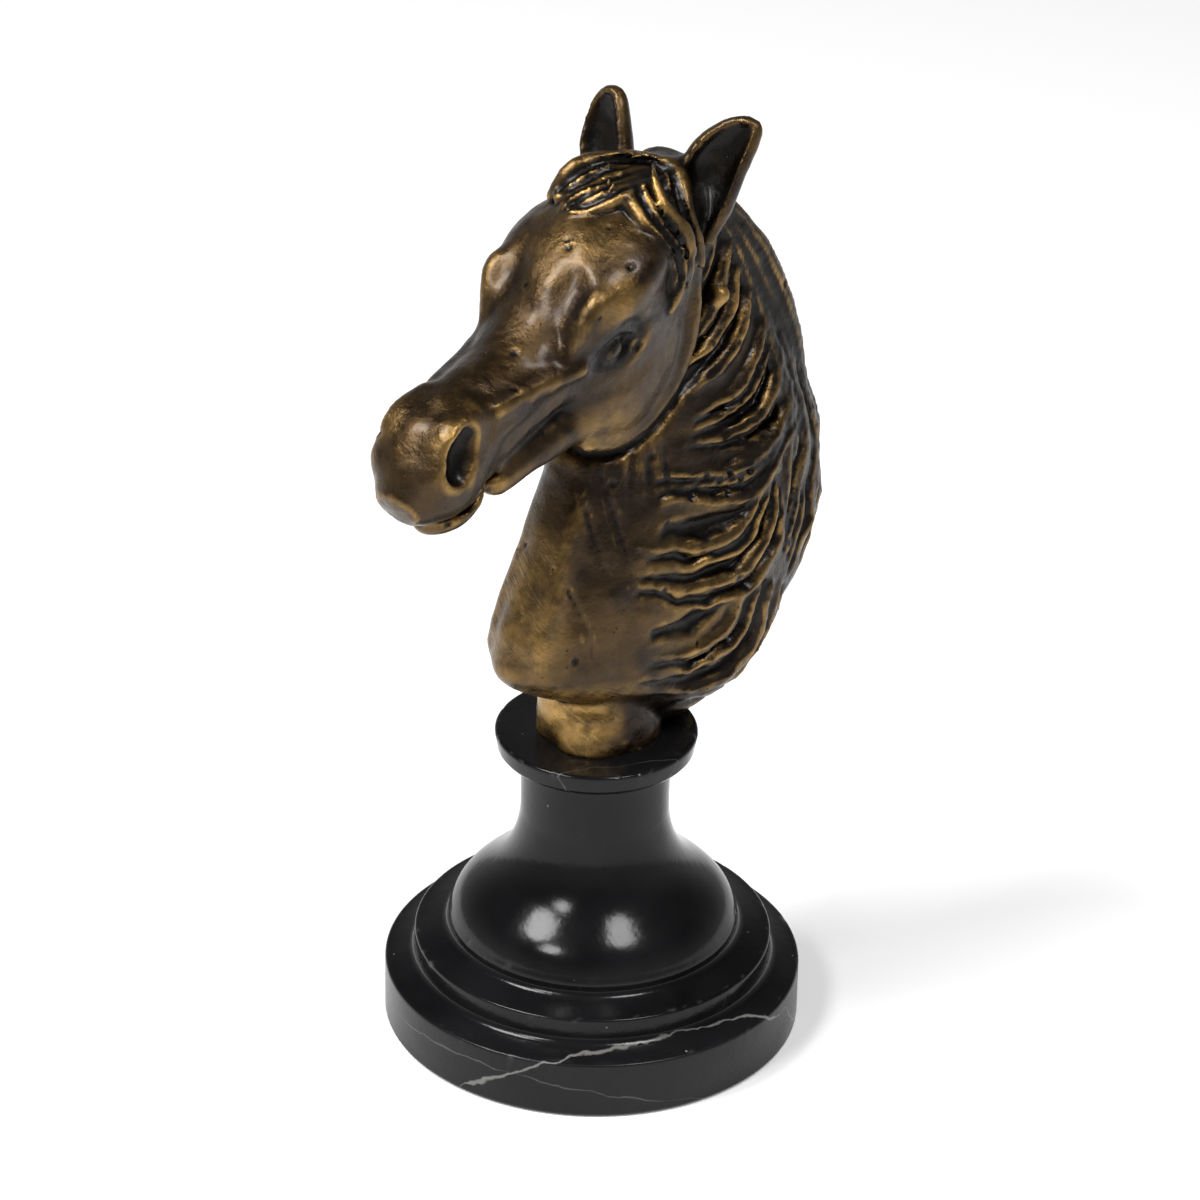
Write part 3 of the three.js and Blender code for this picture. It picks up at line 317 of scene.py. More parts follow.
# Mane: fans of ridges on the side of the neck, as y and z of a first and a last ridge, root to tip. Its
# hollows have knots of y, z and radius.
HAIR_SPACING = 1.7
HAIR_DEPTH = 0.4
MANE_SINK = 0.3
TIP_SINK = 0.9
LEAST_REACH = 1.5
ROOT_SWELL = 0.7
TIP_SWELL = 0.4
RIDGE_STEPS = 14
THINNER_SHARE = 0.2
VALLEY_RADIUS = 1.6
VALLEY_TIP = 0.1
VALLEY_LIFT = 0.6
MANE_FANS = [
    dict(fan="crest", count=7, radius=2.1, first=[(22, 111), (32, 93), (39, 73), (41, 54), (35, 34)],
         last=[(25, 111), (40, 91), (49, 67), (52, 41), (40, 15)]),
    dict(fan="nape", count=5, radius=2, first=[(22, 107), (19, 101), (16, 95), (13, 86)], last=[(35, 90),
         (31, 82), (23, 75), (13, 71)]),
    dict(fan="shoulder", count=4, radius=2.1, first=[(38, 84), (34, 76), (26, 70), (14, 67)],
         last=[(43, 68), (40, 61), (31, 58), (12, 60)]),
    dict(fan="band", count=3, radius=2.2, first=[(42, 65), (36, 58), (25, 55), (3, 57)], last=[(43, 58),
         (36, 52), (26, 50), (1, 53)]),
    dict(fan="upper sweep", count=4, radius=2, first=[(30, 50), (23, 44), (14, 42.5), (1, 44)],
         last=[(36, 46), (34, 35), (22, 29), (-7, 34)]),
    dict(fan="lower sweep", count=3, radius=2.1, first=[(24, 29), (19, 23), (13, 21), (0, 22)],
         last=[(33, 26), (29, 15), (19, 10), (-3, 15)]),
    dict(fan="foot", count=3, radius=1.9, first=[(37, 24), (32, 12), (25, 7), (7, 9)], last=[(40, 17),
         (34, 8), (26, 3), (16, 1)]),
]
MANE_HOLLOWS = [
    dict(hollow="behind the cheek", knots=[(26, 84, 1), (20, 77, 1.8), (15, 72, 1)]),
    dict(hollow="under the band", knots=[(25, 47, 1), (17, 46, 2.4), (6, 46.5, 1.6)]),
    dict(hollow="between the sweeps", knots=[(20, 30, 1.4), (11, 27, 2.4), (1, 27, 1.4)]),
    dict(hollow="over the foot", knots=[(26, 6, 0.8), (17, 5, 1.2), (8, 6, 0.8)]),
]
TOUSLE = 1.4
TOUSLE_LENGTH = 9.0
CREST_HALF = 5
CREST_CALM = 0.3


def to_head(points):
    """Places in the head: along the face from the poll, out of the face line, and to the horse's left."""
    offset = points - HEAD_POLL
    ahead = offset[:, 0] * math.sin(HEAD_TURN) - offset[:, 1] * math.cos(HEAD_TURN)
    left = offset[:, 0] * math.cos(HEAD_TURN) + offset[:, 1] * math.sin(HEAD_TURN)
    along = ahead * math.cos(HEAD_PITCH) - offset[:, 2] * math.sin(HEAD_PITCH)
    out = ahead * math.sin(HEAD_PITCH) + offset[:, 2] * math.cos(HEAD_PITCH)
    return np.column_stack([along, out, left])


def ear_body(places, ear, wall=0.0, shift=0.0):
    """A leaf that bows to one side: round below, pointed above, and shallower than it is wide."""
    foot = np.array(ear["foot"], float)
    axis = np.array(ear["tip"], float) - foot
    length = np.linalg.norm(axis)
    axis /= length
    facing = np.array(ear["open"], float)
    facing -= axis * (facing @ axis)
    facing /= np.linalg.norm(facing)
    across = np.cross(axis, facing)
    offset = places - foot - facing * shift
    along = offset @ axis
    t = np.clip(along / length, 0.0, 1.0)
    aside = offset @ across - ear["bow"] * np.sin(math.pi * t)
    deep = offset @ facing / EAR_DEPTH_SHARE
    taper = np.maximum((t - EAR_WIDEST) / (1 - EAR_WIDEST), 0) ** EAR_TAPER
    upper = EAR_HALF_WIDTH * (EAR_TIP_SHARE + (1 - EAR_TIP_SHARE) * np.sqrt(np.maximum(1 - taper, 0.0)))
    root = EAR_ROOT_SHARE + (1 - EAR_ROOT_SHARE) * np.sin(np.minimum(t / EAR_WIDEST, 1.0) * math.pi / 2)
    gap = np.hypot(aside, deep) - (upper * root - wall)
    return np.maximum.reduce([gap * EAR_DEPTH_SHARE, -along - EAR_SUNK, along - length + wall])


def ear_hollow(places, ear):
    return ear_body(places, ear, EAR_WALL, EAR_HOLLOW_SHIFT)


head_locks = []
head_valleys = []
for hair in HEAD_HAIR:
    locks = fan(hair["first"], hair["last"], hair["count"])
    head_locks += [smooth_path(knots, HEAD_STRAND_STEPS) for knots in locks]
    for knots, below in zip(locks[:-1], locks[1:]):
        valley = smooth_path((knots + below) / 2, HEAD_STRAND_STEPS)
        valley[:, :3] += np.array(HEAD_VALLEY_LIFT)
        valley[:, 3] *= HEAD_VALLEY_SHARE
        head_valleys.append(valley)


def cheek_distance(places):
    """Distance to the two lumps that make the cheek's plate, on both sides."""
    plate = [form for form in HEAD_FORMS if form["form"] in ("cheek", "jaw corner")]
    return np.minimum.reduce([ellipsoid(one_side(places, 2), lump) for lump in plate])


def head_field(points):
    places = to_head(points)
    half = one_side(places, 2)
    along, out, left = places.T
    d = sliced_body(along, out, left, SKULL_ROWS)
    for form in HEAD_FORMS:
        spots = half if form.get("pair") else places
        if "rod" in form:
            rod = smooth_path(form["rod"], 3 * len(form["rod"]))
            work_strand(d, spots, rod, form["blend"], form.get("cut", False))
        else:
            join = smooth_cut if form.get("cut") else smooth_union
            d = join(d, ellipsoid(spots, form), form["blend"])
    slit = out - (MOUTH_HEIGHT + MOUTH_RISE * np.maximum(along - MOUTH_RISE_START, 0))
    mouth = np.maximum.reduce([np.abs(slit) - MOUTH_HALF_GAP, MOUTH_CORNER - along, -d - MOUTH_DEPTH])
    d = smooth_cut(d, mouth, BLEND["mouth"])
    d = smooth_union(d, ellipsoid(places, FORELOCK_ROLL), FORELOCK_ROLL["blend"])
    for lock in head_locks:
        work_strand(d, places, lock, BLEND["head_lock"])
    for valley in head_valleys:
        work_strand(d, places, valley, BLEND["head_lock"], cut=True)
    for ear in EARS:
        leaf = smooth_cut(ear_body(places, ear), ear_hollow(places, ear), BLEND["ear_lip"])
        d = smooth_union(d, leaf, BLEND["ear"])
    return d


def neck_field(points):
    rise = np.clip((points[:, 2] - NECK_LEAN_START) / (HEAD_POLL[2] - NECK_LEAN_START), 0, 1)
    lean = HEAD_POLL[0] * rise * rise * (3 - 2 * rise)
    return sliced_body(points[:, 2], points[:, 1], points[:, 0] - lean, NECK_ROWS)


def neck_side(places, side):
    """How far out the bare neck reaches at each y and z on one side."""
    inner = np.zeros(len(places))
    outer = np.full(len(places), NECK_SEARCH)
    for _ in range(NECK_HALVINGS):
        middle = (inner + outer) / 2
        filled = neck_field(np.column_stack([middle * side, places])) < 0
        inner = np.where(filled, middle, inner)
        outer = np.where(filled, outer, middle)
    return inner


def laid_on_neck(knots, side, steps, lift):
    """A strand through y, z, radius knots, laid on the bare neck of one side."""
    flow = smooth_path([(0, *knot) for knot in knots], steps)
    flow[:, 0] = (neck_side(flow[:, 1:3], side) + lift) * side
    return flow


def mane_ridge(knots, side, radius, tip_swell):
    """One ridge of hair that lies on the side of the neck, thickest in its middle."""
    knots = np.asarray(knots, float)
    swell = [ROOT_SWELL] + [1.0] * (len(knots) - 2) + [tip_swell]
    flow = smooth_path(np.column_stack([np.zeros(len(knots)), knots, swell]), RIDGE_STEPS)
    tip_sink = TIP_SINK * np.linspace(0, 1, len(flow)) ** 3
    flow[:, 0] = np.maximum(neck_side(flow[:, 1:3], side) - MANE_SINK - tip_sink, LEAST_REACH) * side
    flow[:, 3] *= radius
    return flow


def hair_groove(points, start, end):
    """Grooves that run along a lock, a hair strand's width apart."""
    axis = (end - start)[:3]
    across = np.cross(axis, (1.0, 0.0, 0.0))
    across /= max(np.linalg.norm(across), 1e-6)
    place = (points - start[:3]) @ across
    return HAIR_DEPTH * (0.5 - 0.5 * np.cos(2 * math.pi * place / HAIR_SPACING))


mane = []
hollows = []
for side in (1, -1):
    for item in MANE_FANS:
        ridges = fan(item["first"], item["last"], item["count"])
        for i, knots in enumerate(ridges):
            mane.append(mane_ridge(knots, side, item["radius"] * (1 - THINNER_SHARE * (i % 2)), TIP_SWELL))
        for knots, below in zip(ridges[:-1], ridges[1:]):
            valley = mane_ridge((knots + below) / 2, side, VALLEY_RADIUS, VALLEY_TIP)
            valley[:, 0] += VALLEY_LIFT * side
            hollows.append(valley)
for side in (1, -1):
    hollows += [laid_on_neck(item["knots"], side, 8, VALLEY_LIFT) for item in MANE_HOLLOWS]

# Tool strokes on the bare neck as y, z and radius, pits in the flat lock under the cheek, a raised edge
# down the neck, a bead and a blister that the mould left, and the rough stub.
STROKES = [
    [(-6, 67, 0.3), (-4.2, 53, 0.8), (-1.5, 33, 0.3)],
    [(1.5, 65, 0.4), (0.6, 60, 0.9), (-0.4, 54, 0.3)],
    [(4.7, 65, 0.4), (4.4, 60, 0.9), (3.6, 53, 0.3)],
    [(8.3, 64, 0.4), (8, 60, 0.8), (7.6, 55, 0.3)],
    [(-9, 60, 0.2), (-8.4, 48, 0.6), (-6, 36, 0.2)],
    [(-16, 44, 0.2), (-12, 30, 0.6), (-11, 20, 0.2)],
]
STROKE_LIFT = 0.2
LOCK_PITS = [
    (11, 55.4), (14, 54), (16.6, 55.6), (19.4, 53.6), (22, 54.8), (24.6, 52.8), (27, 53.8), (17.6, 51.6),
    (12.4, 52.2), (21, 50.8),
]
LOCK_PIT_RADIUS = 0.75
LOCK_PIT_LIFT = 1.6
LOCK_PIT_DEPTH = 1.4
LOCK_PIT_TAPER = 0.7
NECK_RIDGE = [
    (4.2, -8.6, 56, 0.5), (4.8, -11, 50, 1.2), (5.8, -16.6, 36, 1.6), (6.6, -20.2, 24, 1.2),
    (6, -17, 18, 0.6),
]
CASTING_BEAD = np.array([26.5, -7.6, 15.4, 0.9])
CASTING_BLISTER = [(24.0, 90.0, 1.7), (22.8, 88.6, 1.2)]
BLISTER_LIFT = 1.4
STUB_RADIUS = 12.0
STUB_TOP = 14.0
STUB_ROUGHNESS = 0.9
STUB_WAVES = ((STUB_ROUGHNESS, 7.0, 41), (STUB_ROUGHNESS * 0.4, 2.5, 42))
marks = []
for side in (1, -1):
    marks += [laid_on_neck(knots, side, 10, STROKE_LIFT) for knots in STROKES]
    for y, z in LOCK_PITS:
        reach = (neck_side(np.array([(y, z)], float), side)[0] + LOCK_PIT_LIFT) * side
        bottom = (reach - LOCK_PIT_DEPTH * side, y, z, LOCK_PIT_RADIUS * LOCK_PIT_TAPER)
        marks.append(np.array([(reach, y, z, LOCK_PIT_RADIUS), bottom]))
blister_reach = neck_side(np.array([CASTING_BLISTER[0][:2]]), 1)[0] + BLISTER_LIFT
blister = np.array([(blister_reach, *spot) for spot in CASTING_BLISTER])
bead = np.array([CASTING_BEAD, CASTING_BEAD + 0.01])


def lattice_noise(points, cell, seed):
    """A smooth random value from -1 to 1 at each point, on a lattice of one cell's size."""
    table = np.random.default_rng(seed).uniform(-1, 1, (LATTICE, LATTICE, LATTICE))
    low = np.floor(points / cell).astype(int)
    share = points / cell - low
    share = share * share * (3 - 2 * share)
    value = np.zeros(len(points))
    for corner in CORNERS:
        value += np.abs(1 - corner - share).prod(1) * table[tuple(((low + corner) % LATTICE).T)]
    return value


def layered_noise(points, waves):
    """The sum of smooth random waves, each with a height, a cell and a seed."""
    return sum(height * lattice_noise(points, cell, seed) for height, cell, seed in waves)


def tousled(points):
    """Places shifted a little, so that locks laid on them wander, though less along the crest."""
    shift = np.zeros_like(points)
    calm = CREST_CALM + (1 - CREST_CALM) * np.clip((np.abs(points[:, 0]) - CREST_HALF) / CREST_HALF, 0, 1)
    for axis in (1, 2):
        waves = ((TOUSLE, TOUSLE_LENGTH, 10 + axis), (TOUSLE * 0.5, TOUSLE_LENGTH * 0.4, 20 + axis))
        shift[:, axis] = layered_noise(points, waves)
    return points + shift * calm[:, None]


def bust_field(points):
    neck = neck_field(points)
    loose = tousled(points)
    moat = np.maximum(cheek_distance(to_head(points)) - CHEEK_MOAT_WIDTH, -neck - CHEEK_MOAT_DEPTH)
    neck = smooth_cut(neck, moat, BLEND["moat"])
    for flow in hollows:
        work_strand(neck, loose, flow, BLEND["hollow"], cut=True)
    d = smooth_union(neck, head_field(points), BLEND["head"])
    for lock in mane:
        work_strand(d, loose, lock, BLEND["mane"], groove=hair_groove)
    work_strand(d, one_side(points, 0), smooth_path(NECK_RIDGE, 12), BLEND["neck_ridge"])
    for mark in marks:
        work_strand(d, points, mark, BLEND["mark"], cut=True)
    work_strand(d, points, blister, BLEND["blister"])
    work_strand(d, to_head(points), bead, BLEND["bead"])
    rough_radius = STUB_RADIUS + layered_noise(points, STUB_WAVES)
    stub = np.maximum(np.hypot(points[:, 0], points[:, 1]) - rough_radius, points[:, 2] - STUB_TOP)
    return np.maximum(smooth_union(d, stub, BLEND["stub"]), -points[:, 2])


# The field becomes a mesh: sampled on a grid, and one vertex in each cell that the surface crosses.
CARVING_CELL = 0.7
CARVING_LOW = np.array([-27.0, -68.0, -4.0])
CARVING_HIGH = np.array([27.0, 62.0, 136.0])
ROUGH_CELLS = 4
NEAR_BAND = 1.6
BATCH = 400000
JOINING_ROUNDS = 12
JOINED_VALUE = -0.02


def sampled_field(field, low, high, cell, rough):
    """Samples on a fine grid, worked out exactly only near the surface that a rough grid finds."""
    count = (np.ceil((high - low) / (cell * rough)).astype(int) + 1) * rough
    axes = [low[k] + cell * np.arange(count[k]) for k in range(3)]
    coarse = [axis[::rough] + cell * (rough - 1) / 2 for axis in axes]
    grid = np.stack(np.meshgrid(*coarse, indexing="ij"), -1).reshape(-1, 3)
    rough_values = field(grid).reshape([len(axis) for axis in coarse])
    values = np.kron(rough_values, np.ones((rough, rough, rough)))
    index = np.argwhere(np.abs(values) < cell * rough * NEAR_BAND)
    places = low + index * cell
    for start in range(0, len(places), BATCH):
        part = slice(start, start + BATCH)
        values[tuple(index[part].T)] = field(places[part])
    return values


def joined_diagonals(values):
    """Fills a corner where metal would touch metal only along a grid edge, so that no edge has four faces."""
    for _ in range(JOINING_ROUNDS):
        changed = 0
        for one, other in STEPS[[0, 1]], STEPS[[0, 2]], STEPS[[1, 2]]:
            round_edge = [0 * one, one, one + other, other]
            size = np.array(values.shape) - one - other
            signs = [values[tuple(slice(s, s + n) for s, n in zip(step, size))] < 0 for step in round_edge]
            crossed = (signs[0] == signs[2]) & (signs[1] == signs[3]) & (signs[0] != signs[1])
            for place in np.argwhere(crossed):
                spots = [tuple(place + step) for step in round_edge]
                open_spots = [spot for spot in spots if values[spot] >= 0]
                if len(open_spots) == 2:
                    values[min(open_spots, key=lambda spot: values[spot])] = JOINED_VALUE
                    changed += 1
        if not changed:
            break
    return values


def largest_shell(vertices, quads):
    """Only the biggest connected part of a mesh, so that no crumb of metal is left loose."""
    label = np.arange(len(vertices))
    while True:
        lowest = label[quads].min(1)
        fresh = label.copy()
        for k in range(4):
            np.minimum.at(fresh, quads[:, k], lowest)
        fresh = fresh[fresh]
        if np.array_equal(fresh, label):
            break
        label = fresh
    kept = label == np.bincount(label).argmax()
    number = np.cumsum(kept) - 1
    return vertices[kept], number[quads[kept[quads[:, 0]]]]


def net_surface(values, low, cell):
    """One vertex in each cell that the surface crosses, and a quad round each crossed grid edge."""
    inside = values < 0
    shape = np.array(values.shape) - 1
    total = np.zeros(shape, int)
    for corner in CORNERS:
        total += inside[tuple(slice(c, c + n) for c, n in zip(corner, shape))]
    cells = np.argwhere((total > 0) & (total < 8))
    number = np.full(shape, -1)
    number[tuple(cells.T)] = np.arange(len(cells))
    sums = np.zeros((len(cells), 3))
    weights = np.zeros(len(cells))
    for corner in CORNERS:
        for step in STEPS[corner == 0]:
            near, far = values[tuple((cells + corner).T)], values[tuple((cells + corner + step).T)]
            cut = (near < 0) != (far < 0)
            t = np.where(cut, near / np.where(cut, near - far, 1), 0)
            sums += (corner + t[:, None] * step) * cut[:, None]
            weights += cut
    quads = []
    for axis, step in enumerate(STEPS):
        first, second = [slice(1, -1)] * 3, [slice(1, -1)] * 3
        first[axis], second[axis] = slice(0, -1), slice(1, None)
        edges = np.argwhere(inside[tuple(first)] != inside[tuple(second)]) + (1 - step)
        one, other = STEPS[step == 0]
        ring = np.stack([number[tuple((edges - back).T)] for back in (one + other, other, 0, one)], 1)
        turned_round = inside[tuple(edges.T)] == (axis == 1)
        ring[turned_round] = ring[turned_round][:, ::-1]
        quads.append(ring)
    return low + (cells + sums / weights[:, None]) * cell, np.vstack(quads)


def gathered(numbers, values, size):
    """The sum of the values that belong to each vertex."""
    return np.column_stack([np.bincount(numbers, values[:, axis], minlength=size) for axis in range(3)])


def vertex_normals(vertices, quads):
    first, second, third, fourth = [vertices[quads[:, k]] for k in range(4)]
    facing = np.cross(third - first, fourth - second)
    normals = sum(gathered(quads[:, k], facing, len(vertices)) for k in range(4))
    return normals / np.maximum(np.linalg.norm(normals, axis=1), TINY)[:, None]


# The finish of the skin, in millimetres: waves of the wax, gas pits, painted shade in the hollows and rubbed
# spots.
SMOOTH_KEEP = 0.3
FINE_ROUNDS = 4
BROAD_ROUNDS = 30
WAX_WAVE = 0.26
WAX_WAVES = ((WAX_WAVE, 6.0, 31), (WAX_WAVE * 0.45, 2.4, 32))
PIT_COUNT = 60
PIT_SEED = 5
PIT_RADII = (0.6, 1.1)
PIT_DEPTH = 0.55
# Gas pits get painted shade in step with their depth.
PIT_SHADE = 1.5
FOOT_FLAT = 0.35
# Painted shade in the hollows: how far it reaches, where it starts and fades, and how much of each hollow is
# spared.
SHADE_REACH = 4
SHADE_START = -0.2
SHADE_FADE = 1.1
SHADE_SPARED = {
    "face channel": 0.9, "eye socket": 0.0, "nostril": 0.3, "brow hollow": 1.2, "ear": 0.2, "cheek": 0.4,
}
CHEEK_SPARED = 2.6
# The eye lies wholly in painted shade.
EYE_SHADE = dict(middle=(35.6, -10.4, 13.2), half=(5.6, 4.2, 4.4), weight=2.2)
HAIR_REACH = 5
HAIR_FADE = 2.5
EAR_MARGIN = 1.0
EAR_WEAR = 0.12
RUBBED = [
    dict(spot="brow pad", head=True, middle=(31, -2, 12.5), half=(6, 4.5, 5), share=0.8),
    dict(spot="forehead", head=True, middle=(22, 4, 4), half=(12, 5, 9), share=0.25),
    dict(spot="nostril rim", head=True, middle=(73, 1, 7), half=(6, 4, 5), share=0.6),
    dict(spot="cheek edge", head=True, middle=(42, -28, 9), half=(9, 8, 6), share=0.55),
    dict(spot="forelock", head=True, middle=(9, 6, 0), half=(9, 4, 6.5), share=0.5),
    dict(spot="front of the neck", middle=(5, -22, 40), half=(12, 8, 24), share=0.5),
    dict(spot="foot of the neck", middle=(4, -14, 15), half=(16, 20, 3.2), share=0.6),
    dict(spot="stub", middle=(3, -10, 6.5), half=(11, 9, 9), share=1.25),
    dict(spot="sweeps of the mane", middle=(16, 14, 36), half=(10, 14, 20), share=0.35),
]
RUBBED_EDGE = 1.25
RUBBED_FADE = 0.7


def mesh_relief(vertices, quads, rounds):
    """How far each vertex stands out of its smoothed surroundings, along the normal, in millimetres."""
    a, b = np.vstack([quads[:, [k, (k + 1) % 4]] for k in range(4)]).T
    count = np.bincount(np.concatenate([a, b]), minlength=len(vertices))[:, None]
    normals = vertex_normals(vertices, quads)
    smooth = vertices.copy()
    reliefs = []
    for step in range(max(rounds)):
        total = gathered(a, smooth[b], len(vertices)) + gathered(b, smooth[a], len(vertices))
        smooth = smooth * SMOOTH_KEEP + (1 - SMOOTH_KEEP) * total / np.maximum(count, 1)
        if step + 1 in rounds:
            reliefs.append(((vertices - smooth) * normals).sum(1))
    return reliefs


def strands_depth(laid, reach):
    """Distance to the nearest of many strands, each with the places that it is laid on."""
    depth = np.full(len(laid[0][1]), FAR_OFF)
    for strand, spots in laid:
        near = close_to(spots, strand, reach)
        depth[near] = np.minimum(depth[near], strand_distance(spots[near], strand))
    return depth


def painted_shade_share(points):
    """How much painted shade lies at each point: full in the hollows, nothing on the open surfaces."""
    places = to_head(points)
    half = one_side(places, 2)
    loose = tousled(points)
    laid = [(flow, loose) for flow in hollows] + [(flow, places) for flow in head_valleys]
    depth = strands_depth(laid, SHADE_REACH)
    for form in HEAD_FORMS:
        if form.get("cut"):
            gap = strand_distance(half, smooth_path(form["rod"], 9)) if "rod" in form else ellipsoid(half, form)
            depth = np.minimum(depth, gap + SHADE_SPARED[form["form"]])
    for ear in EARS:
        depth = np.minimum(depth, ear_hollow(places, ear) + SHADE_SPARED["ear"])
    cheek = cheek_distance(places)
    moat = np.maximum(cheek - CHEEK_MOAT_WIDTH, CHEEK_SPARED - cheek)
    depth = np.minimum(depth, moat + SHADE_SPARED["cheek"])
    share = np.clip(1 - (depth - SHADE_START) / SHADE_FADE, 0, 1)
    return np.where(ellipsoid(half, EYE_SHADE) < 0, EYE_SHADE["weight"], share)


def mane_share(points):
    """How much each point belongs to the mane or the hair of the head."""
    places = to_head(points)
    laid = [(lock, points) for lock in mane] + [(lock, places) for lock in head_locks]
    return np.clip(1 - strands_depth(laid, HAIR_REACH) / HAIR_FADE, 0, 1)


def rubbed_share(points):
    """Where hands and cloths have rubbed the patina through to gold."""
    share = np.zeros(len(points))
    for patch in RUBBED:
        spots = one_side(to_head(points), 2) if patch.get("head") else one_side(points, 0)
        reach = np.linalg.norm((spots - np.array(patch["middle"])) / np.array(patch["half"]), axis=1)
        share = np.maximum(share, np.clip((RUBBED_EDGE - reach) / RUBBED_FADE, 0, 1) * patch["share"])
    return share


def edge_wear(points):
    """How far the ridges are worn: less on the ears than elsewhere."""
    near_ear = np.minimum.reduce([ear_body(to_head(points), ear) for ear in EARS])
    return np.where(near_ear < EAR_MARGIN, EAR_WEAR, 1.0)


def pitted(points, normals):
    """The skin of the casting: soft waves of the wax, grain of the mould, and small gas pits."""
    wave = layered_noise(points, WAX_WAVES)
    depth = np.zeros(len(points))
    chance = np.random.default_rng(PIT_SEED)
    for place in points[chance.integers(0, len(points), PIT_COUNT)]:
        radius = chance.uniform(*PIT_RADII)
        near = np.nonzero(np.abs(points - place).max(1) < radius)[0]
        gap = np.linalg.norm(points[near] - place, axis=1) / radius
        depth[near] = np.maximum(depth[near], np.clip(1 - gap ** 2, 0, 1) * radius * PIT_DEPTH)
    return points + normals * (wave - depth)[:, None], depth


carved = joined_diagonals(sampled_field(bust_field, CARVING_LOW, CARVING_HIGH, CARVING_CELL, ROUGH_CELLS))
skin, skin_quads = largest_shell(*net_surface(carved, CARVING_LOW, CARVING_CELL))
skin, pit_depth = pitted(skin, vertex_normals(skin, skin_quads))
fine_relief, broad_relief = mesh_relief(skin, skin_quads, (FINE_ROUNDS, BROAD_ROUNDS))

# The stub's foot is flat where it stands on the marble.
skin[skin[:, 2] < FOOT_FLAT, 2] = 0.0
skin_places = skin * MILLIMETRE + np.array([0.0, 0.0, SEAT_HEIGHT])
casting_mesh = bpy.data.meshes.new("bronze_casting")
casting_mesh.from_pydata(skin_places.tolist(), [], skin_quads.tolist())
# The skin carries marks, among them the painted shade of the hollows and the eye.
skin_marks = dict(
    fine_relief=fine_relief, broad_relief=broad_relief, painted_shade=painted_shade_share(skin) + pit_depth * PIT_SHADE,
    rubbed=rubbed_share(skin), edge_wear=edge_wear(skin), mane=mane_share(skin),
)
for name, values in skin_marks.items():
    casting_mesh.attributes.new(name, "FLOAT", "POINT").data.foreach_set("value", values.astype(np.float32))
casting_mesh.shade_smooth()
casting = bpy.data.objects.new("bronze_casting", casting_mesh)
bpy.context.collection.objects.link(casting)


def shader_tree(name):
    material = bpy.data.materials.new(name)
    material.use_nodes = True
    return material, material.node_tree, material.node_tree.nodes["Principled BSDF"]


def wired(kind, inputs, tree=None, **settings):
    """Adds a node to the tree that its inputs come from, sets what it is and joins or fills its inputs."""
    if tree is None:
        tree = next(value for value in inputs.values() if isinstance(value, bpy.types.NodeSocket)).id_data
    node = tree.nodes.new(kind)
    for name, value in settings.items():
        setattr(node, name, value)
    for key, value in inputs.items():
        if isinstance(value, bpy.types.NodeSocket):
            tree.links.new(value, node.inputs[key])
        else:
            node.inputs[key].default_value = value
    return node


def point_mark(tree, name):
    """What the mesh carries at each point under a name."""
    return wired("ShaderNodeAttribute", {}, tree, attribute_name=name).outputs["Fac"]


def noise_at(place, scale, detail, roughness=0.55):
    inputs = {"Vector": place, "Scale": scale, "Detail": detail, "Roughness": roughness}
    return wired("ShaderNodeTexNoise", inputs).outputs["Fac"]


def remap(value, low, high, low_out=0.0, high_out=1.0):
    inputs = {"Value": value, "From Min": low, "From Max": high, "To Min": low_out, "To Max": high_out}
    return wired("ShaderNodeMapRange", inputs).outputs["Result"]


def blend_colours(factor, first, second):
    first, second = [(*side, 1.0) if isinstance(side, tuple) else side for side in (first, second)]
    inputs = {"Factor": factor, "A": first, "B": second}
    return wired("ShaderNodeMix", inputs, data_type="RGBA").outputs["Result"]


def arithmetic(operation, first, second=0.0):
    return wired("ShaderNodeMath", {0: first, 1: second}, operation=operation).outputs[0]


def plus(first, second):
    return arithmetic("ADD", first, second)


def times(first, second):
    return arithmetic("MULTIPLY", first, second)


def vector(operation, first, second=(0.0, 0.0, 0.0)):
    """A vector, or the one value that a dot product or a length gives."""
    other = "Scale" if operation == "SCALE" else 1
    node = wired("ShaderNodeVectorMath", {0: first, other: second}, operation=operation)
    return node.outputs["Value" if operation in ("DOT_PRODUCT", "LENGTH") else "Vector"]


# Colours of the bronze, and ranges as from, to and the values that they give. Relief is in millimetres.
PATINA_BROWN = (0.018, 0.0098, 0.0045)
PATINA_OLIVE = (0.066, 0.037, 0.011)
MANE_BROWN = (0.018, 0.011, 0.006)
WORN_GOLD = (0.38, 0.225, 0.065)
# Painted shade: the black that the hollows get.
SHADE_BLACK = (0.005, 0.0038, 0.003)
PATCHES = (60.0, 6.0, 0.62)
SMALL_PATCHES = (210.0, 5.0, 0.6)
GRAIN = (520.0, 7.0, 0.62)
SHEEN_PATCHES = (300.0, 5.0)
RIDGE_FINE = (0.05, 0.24)
RIDGE_BROAD = (0.8, 3.2, 0.0, 0.8)
RIDGE_PATCHES = (0.35, 0.65, 0.3, 0.95)
RUBBED_PATCHES = (0.35, 0.6, 0.25, 0.85)
